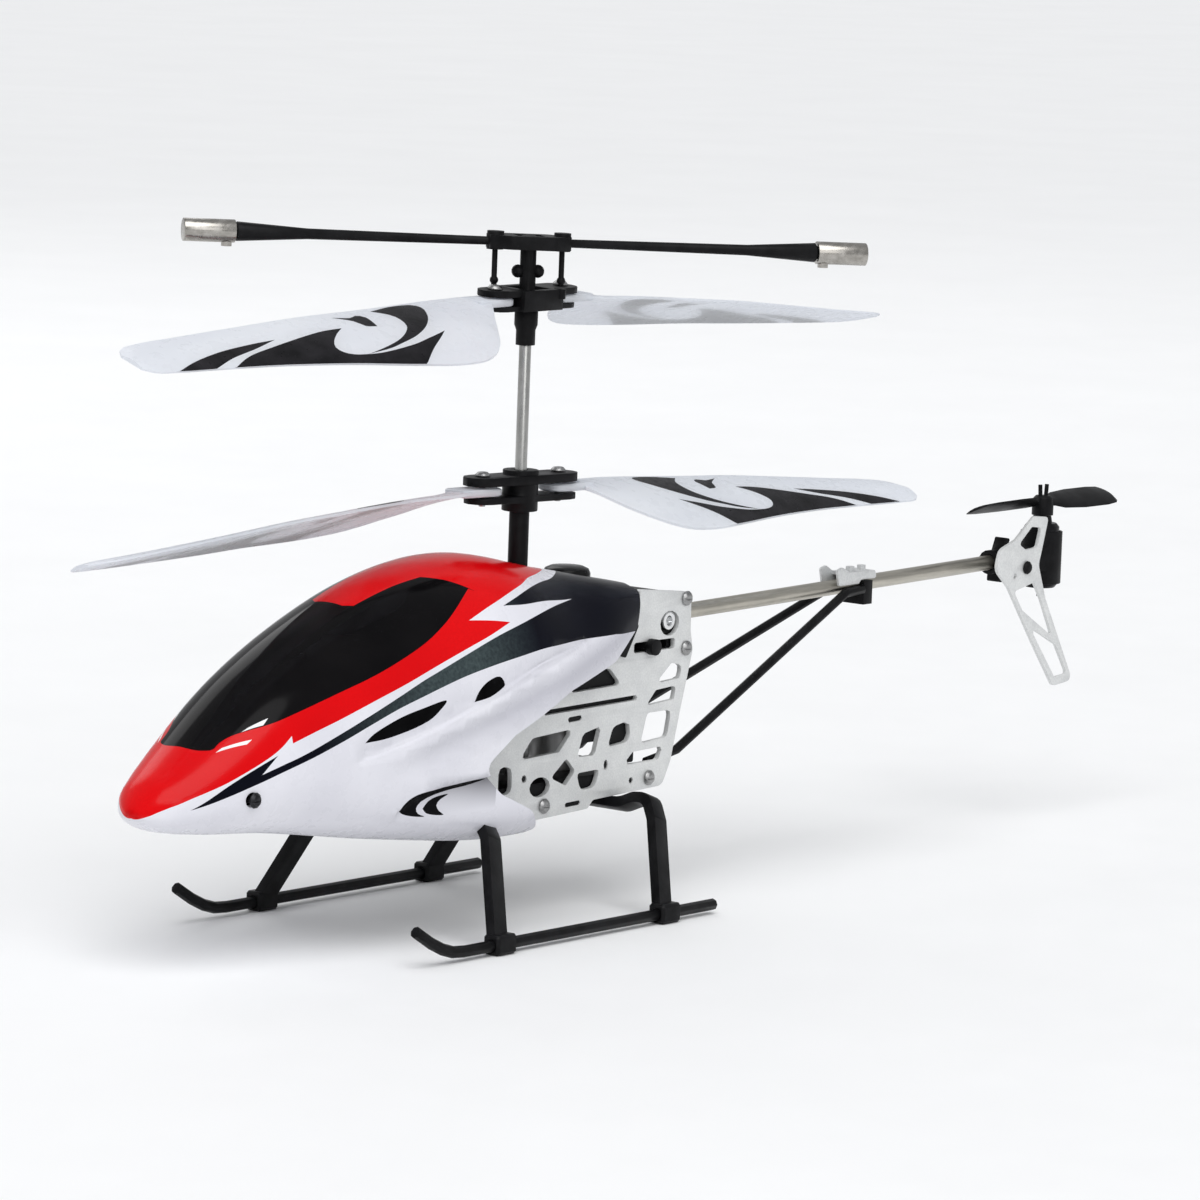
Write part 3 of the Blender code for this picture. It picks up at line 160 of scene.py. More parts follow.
class Finish:
    """One node material, with small helpers that add the nodes it needs."""

    def __init__(self, name, **sockets):
        self.material = bpy.data.materials.new(name)
        self.material.use_nodes = True
        self.tree = self.material.node_tree
        self.shader = tuned(self.tree.nodes["Principled BSDF"], {"Roughness": 0.4, **sockets})
        self.place = self.node("ShaderNodeTexCoord").outputs["Object"]

    def node(self, kind, **settings):
        return tuned(self.tree.nodes.new(kind), settings)

    def link(self, output, target):
        self.tree.links.new(output, target)

    def stretched(self, scale):
        """Object coordinates scaled on each axis."""
        mapping = self.node("ShaderNodeMapping", Scale=scale)
        self.link(self.place, mapping.inputs["Vector"])
        return mapping.outputs["Vector"]

    def noise(self, size, detail=3, stretch=(1, 1, 1), roughness=0.55, warp=0):
        """Noise whose features are about size millimetres across."""
        made = self.node(
            "ShaderNodeTexNoise", Scale=1 / MM / size, Detail=detail, Roughness=roughness, Distortion=warp)
        self.link(self.stretched(stretch), made.inputs["Vector"])
        return made.outputs["Fac"]

    def spots(self, size):
        """Distance from scattered points about size millimetres apart."""
        made = self.node("ShaderNodeTexVoronoi", Scale=1 / MM / size)
        self.link(self.place, made.inputs["Vector"])
        return made.outputs["Distance"]

    def ramp(self, value, *stops):
        """Colour ramp between two stops, each (position, colour)."""
        made = self.node("ShaderNodeValToRGB")
        for element, (position, colour) in zip(made.color_ramp.elements, stops):
            element.position = position
            element.color = (*colour, 1)
        self.link(value, made.inputs["Fac"])
        return made.outputs["Color"]

    def range(self, value, low, high, start=0.3, end=0.7):
        """From low to high as the value goes from start to end."""
        made = self.node("ShaderNodeMapRange", From_Min=start, From_Max=end, To_Min=low, To_Max=high)
        self.link(value, made.inputs["Value"])
        return made.outputs["Result"]

    def maths(self, operation, a, b):
        made = self.node("ShaderNodeMath", operation=operation)
        for socket, value in zip(made.inputs, (a, b)):
            if isinstance(value, (int, float)):
                socket.default_value = value
            else:
                self.link(value, socket)
        return made.outputs["Value"]

    def mix(self, share, a, b):
        """Colour mix: a and b are colours or outputs."""
        made = self.node("ShaderNodeMix", data_type="RGBA")
        for socket, value in ((made.inputs[0], share), (made.inputs[6], a), (made.inputs[7], b)):
            if isinstance(value, tuple):
                socket.default_value = (*value, 1)
            else:
                self.link(value, socket)
        return made.outputs[2]

    def product(self, result, *others):
        """Product of outputs and numbers."""
        for other in others:
            result = self.maths("MULTIPLY", result, other)
        return result

    def band(self, value, rise, fall):
        """1 between two soft edges, each from one level to another in millimetres."""
        rising = self.range(value, 0, 1, rise[0] * MM, rise[1] * MM)
        return self.product(rising, self.range(value, 1, 0, fall[0] * MM, fall[1] * MM))

    def along(self, axis, start, end):
        """From 0 to 1 between two places along X or Z, in millimetres from the mast's foot."""
        split = self.node("ShaderNodeSeparateXYZ")
        self.link(self.place, split.inputs["Vector"])
        shift = {"X": MAST_X, "Z": GROUND}[axis]
        return self.range(split.outputs[axis], 0, 1, (start + shift) * MM, (end + shift) * MM)

    def colour(self, output):
        self.link(output, self.shader.inputs["Base Color"])

    def rough(self, output):
        self.link(output, self.shader.inputs["Roughness"])

    def bump(self, height, depth, strength):
        """Relief of that depth in millimetres."""
        made = self.node("ShaderNodeBump", Strength=strength, Distance=depth * MM)
        self.link(height, made.inputs["Height"])
        self.link(made.outputs["Normal"], self.shader.inputs["Normal"])
        return self.material


def moulded(name, deep, light, roughness=(0.34, 0.5), grain=0.45, depth=0.02, **sockets):
    """Satin moulded plastic with a fine texture and slightly polished patches."""
    f = Finish(name, **{"Specular_IOR_Level": 0.1, **sockets})
    f.colour(f.ramp(f.noise(3, 4), (0.35, deep), (0.7, light)))
    f.rough(f.range(f.noise(5, 4), *roughness))
    return f.bump(f.noise(grain, 2), depth, 0.6)


def bare_metal(name, deep, light, roughness, stretch, grain=0.5, depth=0.006):
    """Turned or drawn metal: fine lines along one axis and a little tarnish."""
    f = Finish(name, Metallic=1)
    lines = f.noise(grain, 3, stretch)
    f.colour(f.mix(f.range(f.noise(2.5, 4), 0, 0.4), f.ramp(lines, (0.3, deep), (0.7, light)), deep))
    f.rough(f.range(lines, *roughness))
    return f.bump(lines, depth, 0.5)


def lacquered(f, deep, light, shade, shaded, roughness):
    """Gloss paint: slow colour drift, a second colour mixed in by a share (a fine grain in the red, painted
    shade in the white and in the pocket), and faint orange peel.
    """
    f.colour(f.mix(shade, f.ramp(f.noise(14, 2), (0.3, deep), (0.7, light)), shaded))
    f.rough(f.range(f.noise(2.2, 3), *roughness))
    return f.bump(f.noise(3.5, 2), 0.006, 0.25)


def red_finish():
    """Sprayed red with a fine grain in the lacquer."""
    f = Finish("paint_red", Specular_IOR_Level=0.12, Coat_Weight=0.04, Coat_Roughness=0.05)
    grain = f.range(f.noise(0.4, 2), 0, 0.5)
    return lacquered(f, (0.62, 0, 0.002), (0.71, 0.001, 0.003), grain, (0.5983, 0, 0.00193), (0.15, 0.24))


CHEEK_SLOPE = 0.268  # rise of the canopy's cheek line along X
# Bands of painted shade on the white paint, as levels above a line with that slope: the hollow and the ridge
# over it
HOLLOW_SHADE_BAND = ((45, 48.8), (49.4, 51.6))
RIDGE_SHADE_BAND = ((52, 52.4), (53.2, 56))


def white_with_painted_shade():
    """Body white, with painted shade in the hollow under the cheek, by the ridge over it and along the belly.
    """
    f = Finish("paint_white_painted_shade", Specular_IOR_Level=0.3, Coat_Weight=0.06, Coat_Roughness=0.05)
    split = f.node("ShaderNodeSeparateXYZ")
    f.link(f.place, split.inputs["Vector"])
    level = f.maths("SUBTRACT", split.outputs["Z"], f.maths("MULTIPLY", split.outputs["X"], CHEEK_SLOPE))
    # Painted shade: grey in the hollow under the cheek, lighter by the ridge, and darker towards the belly
    hollow = f.product(f.band(level, *HOLLOW_SHADE_BAND), f.along("X", -47, -24), 0.58)
    ridge = f.product(f.band(level, *RIDGE_SHADE_BAND), f.along("X", -52, -46), 0.22)
    belly = f.product(f.along("Z", 18.5, 13.5), 0.30)
    shade = f.maths("MAXIMUM", f.maths("MAXIMUM", hollow, ridge), belly)
    return lacquered(f, (0.68, 0.68, 0.735), (0.76, 0.76, 0.81), shade, (0.36, 0.36, 0.41), (0.24, 0.33))


def pocket_painted_shade():
    """The body white inside the low pocket, with painted shade that darkens it up towards its top edge and
    backwards.
    """
    f = Finish("paint_pocket_painted_shade", Specular_IOR_Level=0.3, Coat_Weight=0.05, Coat_Roughness=0.05)
    # Painted shade of the recessed pocket: darkest under its top edge, towards the back
    shade = f.product(f.along("X", -43, -23), f.along("Z", 18.6, 23), 0.95)
    return lacquered(f, (0.67, 0.67, 0.725), (0.75, 0.75, 0.80), shade, (0.10, 0.10, 0.115), (0.3, 0.4))


def windscreen_finish():
    """Smoked plastic, nearly black, with a soft gloss."""
    f = Finish("smoked_glazing", Specular_IOR_Level=0.06, Coat_Weight=0.02, Coat_Roughness=0.03)
    f.colour(f.ramp(f.noise(9, 3), (0.3, (0.0022, 0.002, 0.0025)), (0.72, (0.005, 0.0045, 0.005))))
    f.rough(f.range(f.noise(4, 4), 0.07, 0.14))
    return f.bump(f.noise(3, 1), 0.008, 0.4)


def navy_finish():
    """Near-black blue band that lightens to grey green in a soft stretch of its length."""
    f = Finish("paint_navy", Specular_IOR_Level=0.07, Coat_Weight=0.01, Coat_Roughness=0.06)
    glow = f.product(f.along("X", -58, -36), f.along("X", -14, -27))
    dots = f.product(glow, f.range(f.noise(0.5, 2), 0.55, 1))
    base = f.ramp(f.noise(12, 2), (0.3, (0.0015, 0.0018, 0.005)), (0.7, (0.003, 0.0036, 0.009)))
    f.colour(f.mix(dots, base, (0.055, 0.075, 0.078)))
    f.rough(f.range(f.noise(2.2, 3), 0.16, 0.24))
    return f.bump(f.noise(1.3, 2), 0.012, 0.5)


def sheet_metal_finish():
    """Satin anodised sheet with a fine sparkling grain and cloudy patches."""
    f = Finish("anodised_sheet", Metallic=0.25, Specular_IOR_Level=0.4)
    cloud = f.ramp(f.noise(4, 5, roughness=0.65), (0.28, (0.66, 0.67, 0.67)), (0.72, (0.80, 0.81, 0.80)))
    grain = f.range(f.noise(0.28, 2), 0, 0.3, 0.35, 0.65)
    f.colour(f.mix(grain, cloud, (0.46, 0.47, 0.48)))
    f.rough(f.range(f.noise(0.5, 3), 0.34, 0.5))
    return f.bump(f.noise(0.22, 2), 0.01, 0.6)


FILM_TRANSLUCENCE = 0.45


def film_finish(name, deep, light):
    """Milky blade film with faint flow lines, which lets some light through."""
    f = Finish(name, Specular_IOR_Level=0.3)
    flow = f.ramp(f.noise(9, 2, (0.25, 1, 1)), (0.3, deep), (0.7, light))
    f.colour(flow)
    f.rough(f.range(f.noise(2, 3), 0.24, 0.34))
    f.bump(f.noise(8, 1, (0.3, 1, 1)), 0.01, 0.2)
    through = f.node("ShaderNodeBsdfTranslucent")
    f.link(flow, through.inputs["Color"])
    blended = f.node("ShaderNodeMixShader", Fac=FILM_TRANSLUCENCE)
    f.link(f.shader.outputs["BSDF"], blended.inputs[1])
    f.link(through.outputs["BSDF"], blended.inputs[2])
    f.link(blended.outputs["Shader"], f.tree.nodes["Material Output"].inputs["Surface"])
    return f.material


def ink_finish(name, deep, light):
    """Screen-printed ink with small pinholes and a slightly raised, satin surface."""
    f = Finish(name, Specular_IOR_Level=0.05)
    holes = f.range(f.spots(0.9), 0, 1, 0.05, 0.09)
    faded = tuple(c + 0.01 for c in light)
    f.colour(f.mix(holes, faded, f.ramp(f.noise(4), (0.3, deep), (0.7, light))))
    f.rough(f.range(f.noise(0.8, 3), 0.26, 0.42))
    return f.bump(f.noise(0.6, 2), 0.008, 0.5)


def board_finish():
    """Green solder mask with copper traces showing through."""
    f = Finish("solder_mask")
    traces = f.node(
        "ShaderNodeTexBrick", offset=0.35, squash=0.6, squash_frequency=3, Scale=1, Mortar_Size=0.09 * MM,
        Brick_Width=3.1 * MM, Row_Height=1.3 * MM)
    f.link(f.place, traces.inputs["Vector"])
    lines = traces.outputs["Fac"]
    base = f.ramp(f.noise(2), (0.3, (0.008, 0.07, 0.025)), (0.7, (0.015, 0.12, 0.045)))
    f.colour(f.mix(lines, base, (0.05, 0.26, 0.10)))
    f.rough(f.range(f.noise(1), 0.24, 0.4))
    return f.bump(lines, 0.03, 0.6)


def cell_finish():
    """Crinkled silver wrap of the battery."""
    f = Finish("cell_wrap", Metallic=0.7)
    folds = f.noise(2.6, 5, (1, 1, 1), 0.7, 1.2)
    f.colour(f.ramp(folds, (0.3, (0.38, 0.40, 0.43)), (0.7, (0.62, 0.64, 0.67))))
    f.rough(f.range(folds, 0.25, 0.45))
    return f.bump(folds, 0.12, 0.6)


def floor_finish():
    """Pale matt floor with a slow cloudy drift."""
    f = Finish("pale_floor", Specular_IOR_Level=0.25)
    f.colour(f.ramp(f.noise(60, 3), (0.2, (0.90, 0.905, 0.91)), (0.8, (0.93, 0.935, 0.94))))
    f.rough(f.range(f.noise(9, 3), 0.6, 0.75))
    return f.bump(f.noise(1.5, 2), 0.02, 0.2)


# White paint that carries painted shade under the cheek and along the belly
WHITE = white_with_painted_shade()
RED = red_finish()
NAVY = navy_finish()
# The pocket's white with its painted shade
POCKET_PAINTED_SHADE = pocket_painted_shade()
INNER = moulded("canopy_inside", (0.62, 0.62, 0.64), (0.72, 0.72, 0.74), (0.45, 0.6))
VENT = moulded("vent_black", (0.001, 0.001, 0.0012), (0.003, 0.003, 0.0035), (0.5, 0.65), 0.5, 0.03,
               Specular_IOR_Level=0.03)
PRINT = ink_finish("print_black", (0.001, 0.001, 0.0015), (0.003, 0.003, 0.004))
# White of the two dashes on the glazing and the red, in the ink's finish
DASH = ink_finish("white_dash", (0.80, 0.80, 0.80), (0.88, 0.88, 0.88))
GLASS = windscreen_finish()
SHEET = sheet_metal_finish()
BLACK = moulded("black_plastic", (0.004, 0.004, 0.0045), (0.010, 0.010, 0.011))
STRUT_BLACK = moulded("strut_black", (0.004, 0.004, 0.0045), (0.011, 0.011, 0.012), (0.28, 0.42), 0.7, 0.015)
DOME_BLACK = moulded("dome_black", (0.004, 0.004, 0.005), (0.012, 0.012, 0.012), (0.14, 0.26), 1.2, 0.01)
# Stretch of a metal's fine lines on each axis
ALONG_X, ROUND_X, ALONG_Z, EVEN = (0.08, 1, 1), (0.2, 1, 1), (1, 1, 0.15), (1, 1, 1)
TUBE = bare_metal("drawn_tube", (0.42, 0.40, 0.35), (0.60, 0.57, 0.50), (0.32, 0.44), ALONG_X)
CHROME = bare_metal("chrome", (0.66, 0.67, 0.68), (0.88, 0.88, 0.88), (0.07, 0.16), ALONG_Z, 0.8, 0.003)
NICKEL = bare_metal("satin_nickel", (0.30, 0.285, 0.26), (0.50, 0.48, 0.45), (0.2, 0.32), ROUND_X, 0.8, 0.003)
SHAFT = bare_metal("ground_shaft", (0.40, 0.40, 0.39), (0.56, 0.56, 0.54), (0.24, 0.34), ALONG_Z, 0.8, 0.003)
SCREW = bare_metal("zinc_screw", (0.24, 0.24, 0.24), (0.44, 0.44, 0.44), (0.25, 0.42), EVEN, 0.4, 0.01)
DARK_SCREW = bare_metal("oiled_screw", (0.02, 0.02, 0.022), (0.06, 0.06, 0.065), (0.3, 0.45), EVEN, 0.4, 0.01)
CAN = bare_metal("motor_can", (0.40, 0.40, 0.40), (0.48, 0.48, 0.48), (0.38, 0.5), (1, 1, 0.1), 0.4)
DARK_CAN = moulded("black_can", (0.006, 0.006, 0.007), (0.02, 0.02, 0.022), (0.2, 0.34), 0.5, 0.01,
                   Metallic=0.5)
NYLON = moulded("nylon", (0.62, 0.62, 0.56), (0.74, 0.74, 0.69), (0.3, 0.45), 0.5, 0.01)
FILM = film_finish("blade_film", (0.83, 0.85, 0.89), (0.88, 0.90, 0.93))
FILM_INK = ink_finish("blade_ink", (0.008, 0.008, 0.009), (0.022, 0.021, 0.024))
FILM_GHOST = film_finish("blade_ghost", (0.73, 0.75, 0.78), (0.79, 0.81, 0.84))
BOARD = board_finish()
CELL = cell_finish()
FLOOR = floor_finish()

CAD_FINISHES = {
    SHEET: ("left_side_frame", "right_side_frame", "tail_fin", "stabilizer_bracket"),
    BLACK: (
        "upper_bearing_block", "lower_bearing_block", "battery_tray", "brace_clamp", "tail_motor_mount",
        "upper_gear", "lower_gear", "outer_mast", "lower_hub", "rotor_head", "blade_grip", "flybar",
        "link_rod_a", "link_rod_b", "tail_rotor", "switch_slider", "switch_body",
    ),
    STRUT_BLACK: (
        "front_strut", "rear_strut", "left_skid", "right_skid", "left_brace_rod", "right_brace_rod",
    ),
    DOME_BLACK: ("receiver_dome",),
    TUBE: ("tail_boom",),
    SHAFT: ("inner_shaft",),
    CHROME: ("charging_socket",),
    NICKEL: ("flybar_weight_a", "flybar_weight_b"),
    SCREW: tuple(n for n in cad if "screw" in n and "canopy" not in n),
    DARK_SCREW: tuple(n for n in cad if "canopy_screw" in n),
    CAN: ("front_motor", "rear_motor"),
    DARK_CAN: ("tail_motor",),
    NYLON: ("front_pinion", "rear_pinion"),
    BOARD: ("circuit_board",),
    CELL: ("battery",),
}


CREASE = math.radians(35)  # an edge that bends more than this is a real edge
WELD_REACH = 0.002
# Width of the rounded edges in millimetres, on most nodes and on those with these words in their names
EDGE_WIDTH = 0.1
EDGE_WIDTHS = {"strut": 0.35, "screw": 0.05}


def soften(obj, width):
    """Small rounded edges and clean shading on a CAD node, by modifiers alone."""
    tuned(obj.modifiers.new("weld", "WELD"), {"merge_threshold": WELD_REACH * MM})
    tuned(obj.modifiers.new("edges", "BEVEL"), {
        "width": width * MM, "segments": 2, "limit_method": "ANGLE", "angle_limit": CREASE,
        "use_clamp_overlap": True})
    tuned(obj.modifiers.new("shading", "NODES"), {"node_group": SMOOTHING})


def smoothing_group():
    """Geometry nodes that shade smooth except across real edges."""
    group = bpy.data.node_groups.new("shade_by_angle", "GeometryNodeTree")
    for way in ("INPUT", "OUTPUT"):
        group.interface.new_socket("Geometry", in_out=way, socket_type="NodeSocketGeometry")
    source, result, bend = (group.nodes.new(kind) for kind in (
        "NodeGroupInput", "NodeGroupOutput", "GeometryNodeInputMeshEdgeAngle"))
    sharp = tuned(group.nodes.new("FunctionNodeCompare"), {"data_type": "FLOAT", "operation": "GREATER_THAN"})
    sharp.inputs[1].default_value = CREASE
    normals = tuned(group.nodes.new("GeometryNodeSetMeshNormal"), {
        "mode": "SHARPNESS", "Remove_Custom": True, "Face_Sharpness": False})
    for output, target in (
        (bend.outputs["Unsigned Angle"], sharp.inputs[0]), (source.outputs[0], normals.inputs["Mesh"]),
        (sharp.outputs[0], normals.inputs["Edge Sharpness"]), (normals.outputs[0], result.inputs[0]),
    ):
        group.links.new(output, target)
    return group


SMOOTHING = smoothing_group()


def finish_cad_nodes():
    """Material and rounded edges of every CAD node that stays."""
    for finish, names in CAD_FINISHES.items():
        for name in names:
            obj = cad[name]
            obj.data.materials.clear()
            obj.data.materials.append(finish)
            soften(obj, next((width for word, width in EDGE_WIDTHS.items() if word in name), EDGE_WIDTH))


# ---- outlines on curved surfaces

def curve_through(points, step=0.5):
    """Catmull-Rom curve through 2-D points, sampled about every step."""
    points = [np.array(p, float) for p in points]
    padded = [2 * points[0] - points[1], *points, 2 * points[-1] - points[-2]]
    out = []
    for p0, p1, p2, p3 in zip(padded, padded[1:], padded[2:], padded[3:]):
        count = max(1, int(np.linalg.norm(p2 - p1) / step))
        for k in range(count):
            t = k / count
            out.append(0.5 * (2 * p1 + (p2 - p0) * t + (2 * p0 - 5 * p1 + 4 * p2 - p3) * t * t
                              + (3 * p1 - p0 - 3 * p2 + p3) * t ** 3))
    return [*out, points[-1]]


def straight(points, step=0.5):
    """Straight runs between 2-D points, sampled the same way."""
    out = []
    points = [np.array(p, float) for p in points]
    for a, b in zip(points, points[1:]):
        count = max(1, int(np.linalg.norm(b - a) / step))
        out += [a + (b - a) * k / count for k in range(count)]
    return [*out, points[-1]]


CORNER_SHARE = 0.45  # most of a side that a rounded corner may take


def rounded(corners, steps=4):
    """Outline with its corners rounded: each corner is (x, z, radius)."""
    out = []
    for i, (x, z, radius) in enumerate(corners):
        here = np.array((x, z), float)
        if not radius:
            out.append(here)
            continue
        before = np.array(corners[i - 1][:2], float) - here
        after = np.array(corners[(i + 1) % len(corners)][:2], float) - here
        reach_in, reach_out = np.linalg.norm(before), np.linalg.norm(after)
        cosine = float(before @ after / reach_in / reach_out)
        half = math.acos(max(-1, min(1, cosine))) / 2
        cut = min(radius / math.tan(half), reach_in * CORNER_SHARE, reach_out * CORNER_SHARE)
        start, end = here + before / reach_in * cut, here + after / reach_out * cut
        for k in range(steps + 1):
            t = k / steps
            out.append((1 - t) ** 2 * start + 2 * t * (1 - t) * here + t * t * end)
    return out


def within(loop, points):
    """Which points lie inside a closed loop, by crossings."""
    x, y = points[:, 0], points[:, 1]
    hit = np.zeros(len(points), bool)
    for (x0, y0), (x1, y1) in zip(loop, [*loop[1:], loop[0]]):
        if y0 == y1:
            continue
        spans = (y0 > y) != (y1 > y)
        hit ^= spans & (x < (x1 - x0) * (y - y0) / (y1 - y0) + x0)
    return hit


BATCH = 200  # points compared with the grid at a time
SAME_POINT = 1e-4


def triangulate(width, height, loops, lines, spacing):
    """Even triangles over a rectangle that follow every loop and line. Returns points and triangles."""
    (a0, a1), (b0, b1) = width, height
    border = straight([(a0, b0), (a1, b0), (a1, b1), (a0, b1), (a0, b0)], spacing)[:-1]
    points, edges = [], []
    chains = [(chain, True) for chain in (border, *loops)] + [(line, False) for line in lines]
    for chain, closed in chains:
        first = len(points)
        points += [(min(max(p[0], a0), a1), min(max(p[1], b0), b1)) for p in chain]
        edges += [(i, i + 1) for i in range(first, len(points) - 1)]
        if closed:
            edges.append((len(points) - 1, first))
    held = np.array(points)
    rows, columns = int((b1 - b0) / spacing), int((a1 - a0) / spacing)
    grid = np.array([(a0 + (i + 0.5 * (j % 2)) * (a1 - a0) / columns, b0 + j * (b1 - b0) / rows)
                     for j in range(1, rows) for i in range(1, columns)])
    near = np.full(len(grid), np.inf)
    for start in range(0, len(held), BATCH):
        gap = grid[:, None] - held[None, start:start + BATCH]
        near = np.minimum(near, (gap ** 2).sum(2).min(1))
    grid = grid[near > (0.5 * spacing) ** 2]
    made = delaunay_2d_cdt([Vector(p) for p in (*points, *grid)], edges, [], 0, SAME_POINT, False)
    return np.array([tuple(v) for v in made[0]]), [tuple(f) for f in made[2]]


# ---- canopy skin

def smooth_value(knots, x):
    """Cubic curve through (x, value) knots with averaged slopes."""
    last = len(knots) - 1
    slopes = [(knots[i + 1][1] - knots[i][1]) / (knots[i + 1][0] - knots[i][0]) for i in range(last)]
    tangents = [slopes[0]] + [(a + b) / 2 for a, b in zip(slopes, slopes[1:])] + [slopes[-1]]
    i = max(j for j in range(last) if knots[j][0] <= x or j == 0)
    span = knots[i + 1][0] - knots[i][0]
    t = (x - knots[i][0]) / span
    return (
        knots[i][1] * (1 + 2 * t) * (1 - t) ** 2
        + tangents[i] * span * t * (1 - t) ** 2
        + knots[i + 1][1] * t * t * (3 - 2 * t)
        + tangents[i + 1] * span * t * t * (t - 1)
    )


# Along X: heights of roof and belly, half breadth, and squareness of the ring over and under the waist
ROOF = ((-84, 23.4), (-75, 29.2), (-60, 39.8), (-45, 47.2), (-30, 51.8), (-15, 53.1), (0, 50.3), (18, 46.9))
BELLY = (
    (-84, 20.2), (-79.5, 18.9), (-72, 17.8), (-60, 16.8), (-40, 14.2), (-20, 12.4), (-5, 12.9), (18, 15.5),
)
BEAM = ((-84, 3.2), (-75, 8), (-60, 12.2), (-45, 15), (-30, 17.1), (-14, 18), (2, 16), (18, 11))
ROOF_SQUARENESS = ((-84, 2.1), (-15, 2.3), (2, 2.9), (10, 4.8), (18, 8))
BELLY_SQUARENESS = ((-84, 2.2), (-60, 2.5), (-38, 3.8), (-15, 5), (18, 5))
NOSE_X, NOSE_ROUNDING, NOSE_HEIGHT = -83.1, 4, 21.4
CANOPY_END_X = 17.2
CANOPY_WALL = 0.8
WAIST = 0.42  # share of the section's height at which it is widest
GIRTH = 46  # millimetres that the way from the roof's middle to the belly's middle counts as
NOSE_RUN = NOSE_ROUNDING * math.pi / 2
RUN_START = NOSE_X + NOSE_ROUNDING - NOSE_RUN


def run_of(x):
    """Distance along the canopy, which carries on round the blunt nose."""
    reach = (x - NOSE_X) / NOSE_ROUNDING
    if reach >= 1:
        return x
    return NOSE_X + NOSE_ROUNDING - NOSE_RUN * (1 - math.acos(1 - max(reach, 0)) / (math.pi / 2))


def station(run):
    """The place along X for a run, and how far the section has grown there."""
    if run >= NOSE_X + NOSE_ROUNDING:
        return run, 1
    turn = (run - RUN_START) / NOSE_RUN * math.pi / 2
    return NOSE_X + NOSE_ROUNDING * (1 - math.cos(turn)), math.sin(max(turn, 0))


SWEEP = np.linspace(math.pi / 2, -math.pi / 2, 361)


def section(run):
    """Half of the ring at a run: distances from the middle, heights and shares of the way down."""
    x, grow = station(run)
    top = NOSE_HEIGHT + (smooth_value(ROOF, x) - NOSE_HEIGHT) * grow
    bottom = NOSE_HEIGHT + (smooth_value(BELLY, x) - NOSE_HEIGHT) * grow
    half = smooth_value(BEAM, x) * grow
    waist = bottom + WAIST * (top - bottom)
    upper = SWEEP > 0
    power = np.where(upper, 2 / smooth_value(ROOF_SQUARENESS, x), 2 / smooth_value(BELLY_SQUARENESS, x))
    breadth = half * np.abs(np.cos(SWEEP)) ** power
    rise = np.sign(np.sin(SWEEP)) * np.abs(np.sin(SWEEP)) ** power
    height = waist + np.where(upper, top - waist, waist - bottom) * rise
    steps = np.hypot(np.diff(breadth), np.diff(height))
    share = np.concatenate([[0], np.cumsum(steps)])
    return x, breadth, height, share / max(share[-1], 1e-9)


def from_side(x, z):
    """Skin coordinates of a point seen from the side."""
    run = run_of(x)
    _, _, height, share = section(run)
    return run, GIRTH * float(np.interp(-z, -height, share))


def from_above(x, y):
    """Skin coordinates of a roof point seen from above."""
    run = run_of(x)
    _, breadth, _, share = section(run)
    widest = int(np.argmax(breadth))
    return run, GIRTH * float(np.interp(abs(y), breadth[:widest + 1], share[:widest + 1]))


def from_below(x, y):
    """Skin coordinates of a belly point seen from below."""
    run = run_of(x)
    _, breadth, _, share = section(run)
    widest = int(np.argmax(breadth))
    return run, GIRTH * float(np.interp(-abs(y), -breadth[widest:], share[widest:]))


def laid(view, points):
    """Skin coordinates of points seen from_side, from_above or from_below."""
    return [np.array(view(*p)) for p in points]


def side_curve(points, step=0.5):
    """Curve through points seen from the side."""
    return curve_through(laid(from_side, points), step)


def side_line(points, step=0.7):
    """Straight in side view, so sampled before it is laid on the skin."""
    return laid(from_side, straight(points, step))


# Rear edge of the canopy in side view, from the roof down to the belly
REAR_EDGE = (
    (16.7, 60, 0), (16.4, 46, 0), (13.7, 41.1, 1.2), (5.6, 37.1, 6), (-8, 34.1, 6), (-21, 29, 4),
    (-27.3, 24.6, 2), (-22.5, 20.2, 4), (-16, 17.4, 2), (-12.6, 14.2, 1), (-12.2, 5, 0),
)
WINDOW_NOSE = ((-73.5, 0), (-73.5, 1.5), (-73.3, 2.8), (-72.8, 3.9), (-71.9, 4.9))
SILL = (
    (-69.8, 31.65), (-62.5, 34), (-49.4, 38.2), (-38.4, 42), (-31, 45.4), (-23.2, 49.6),
)
ROOF_PANEL = ((-42.6, 2.6), (-41.6, 3.9), (-34, 4.5), (-28.5, 5.2), (-25.6, 7.4), (-22.4, 10.4))
# Painted shapes in side view: x and z
RED_TIP_X = -83.02
RED_EDGE = (
    (-82.77, 21.15), (-81.95, 21.85), (-80.75, 22.7), (-79.3, 23.4), (-77.5, 24.15), (-75.4, 24.95),
    (-72.8, 25.95), (-70.2, 27.1), (-67.6, 28.3), (-65.4, 29.4), (-63.6, 30.5), (-61.8, 31.9),
)
RED_EDGE_REAR = (
    (-61.9, 30.9), (-59.7, 31.7), (-53.7, 33.7), (-46.2, 36.2), (-40.7, 38), (-34.9, 40), (-28.8, 41.9),
    (-23.7, 43.4), (-19, 44.9),
)
RED_NOTCH = ((-19, 44.9), (-22, 45.3), (-26.5, 45.6))
RED_REAR = ((-26.5, 45.6), (-22.6, 46.9), (-18, 48.2), (-12.6, 49.4))
RED_REAR_ABOVE = ((-8.5, 9), (-4, 7), (0.5, 4.2), (3.5, 0))
BAND_NOSE = ((-78.1, 22.5), (-73.8, 24.9), (-70, 26.9), (-64.5, 29.4))
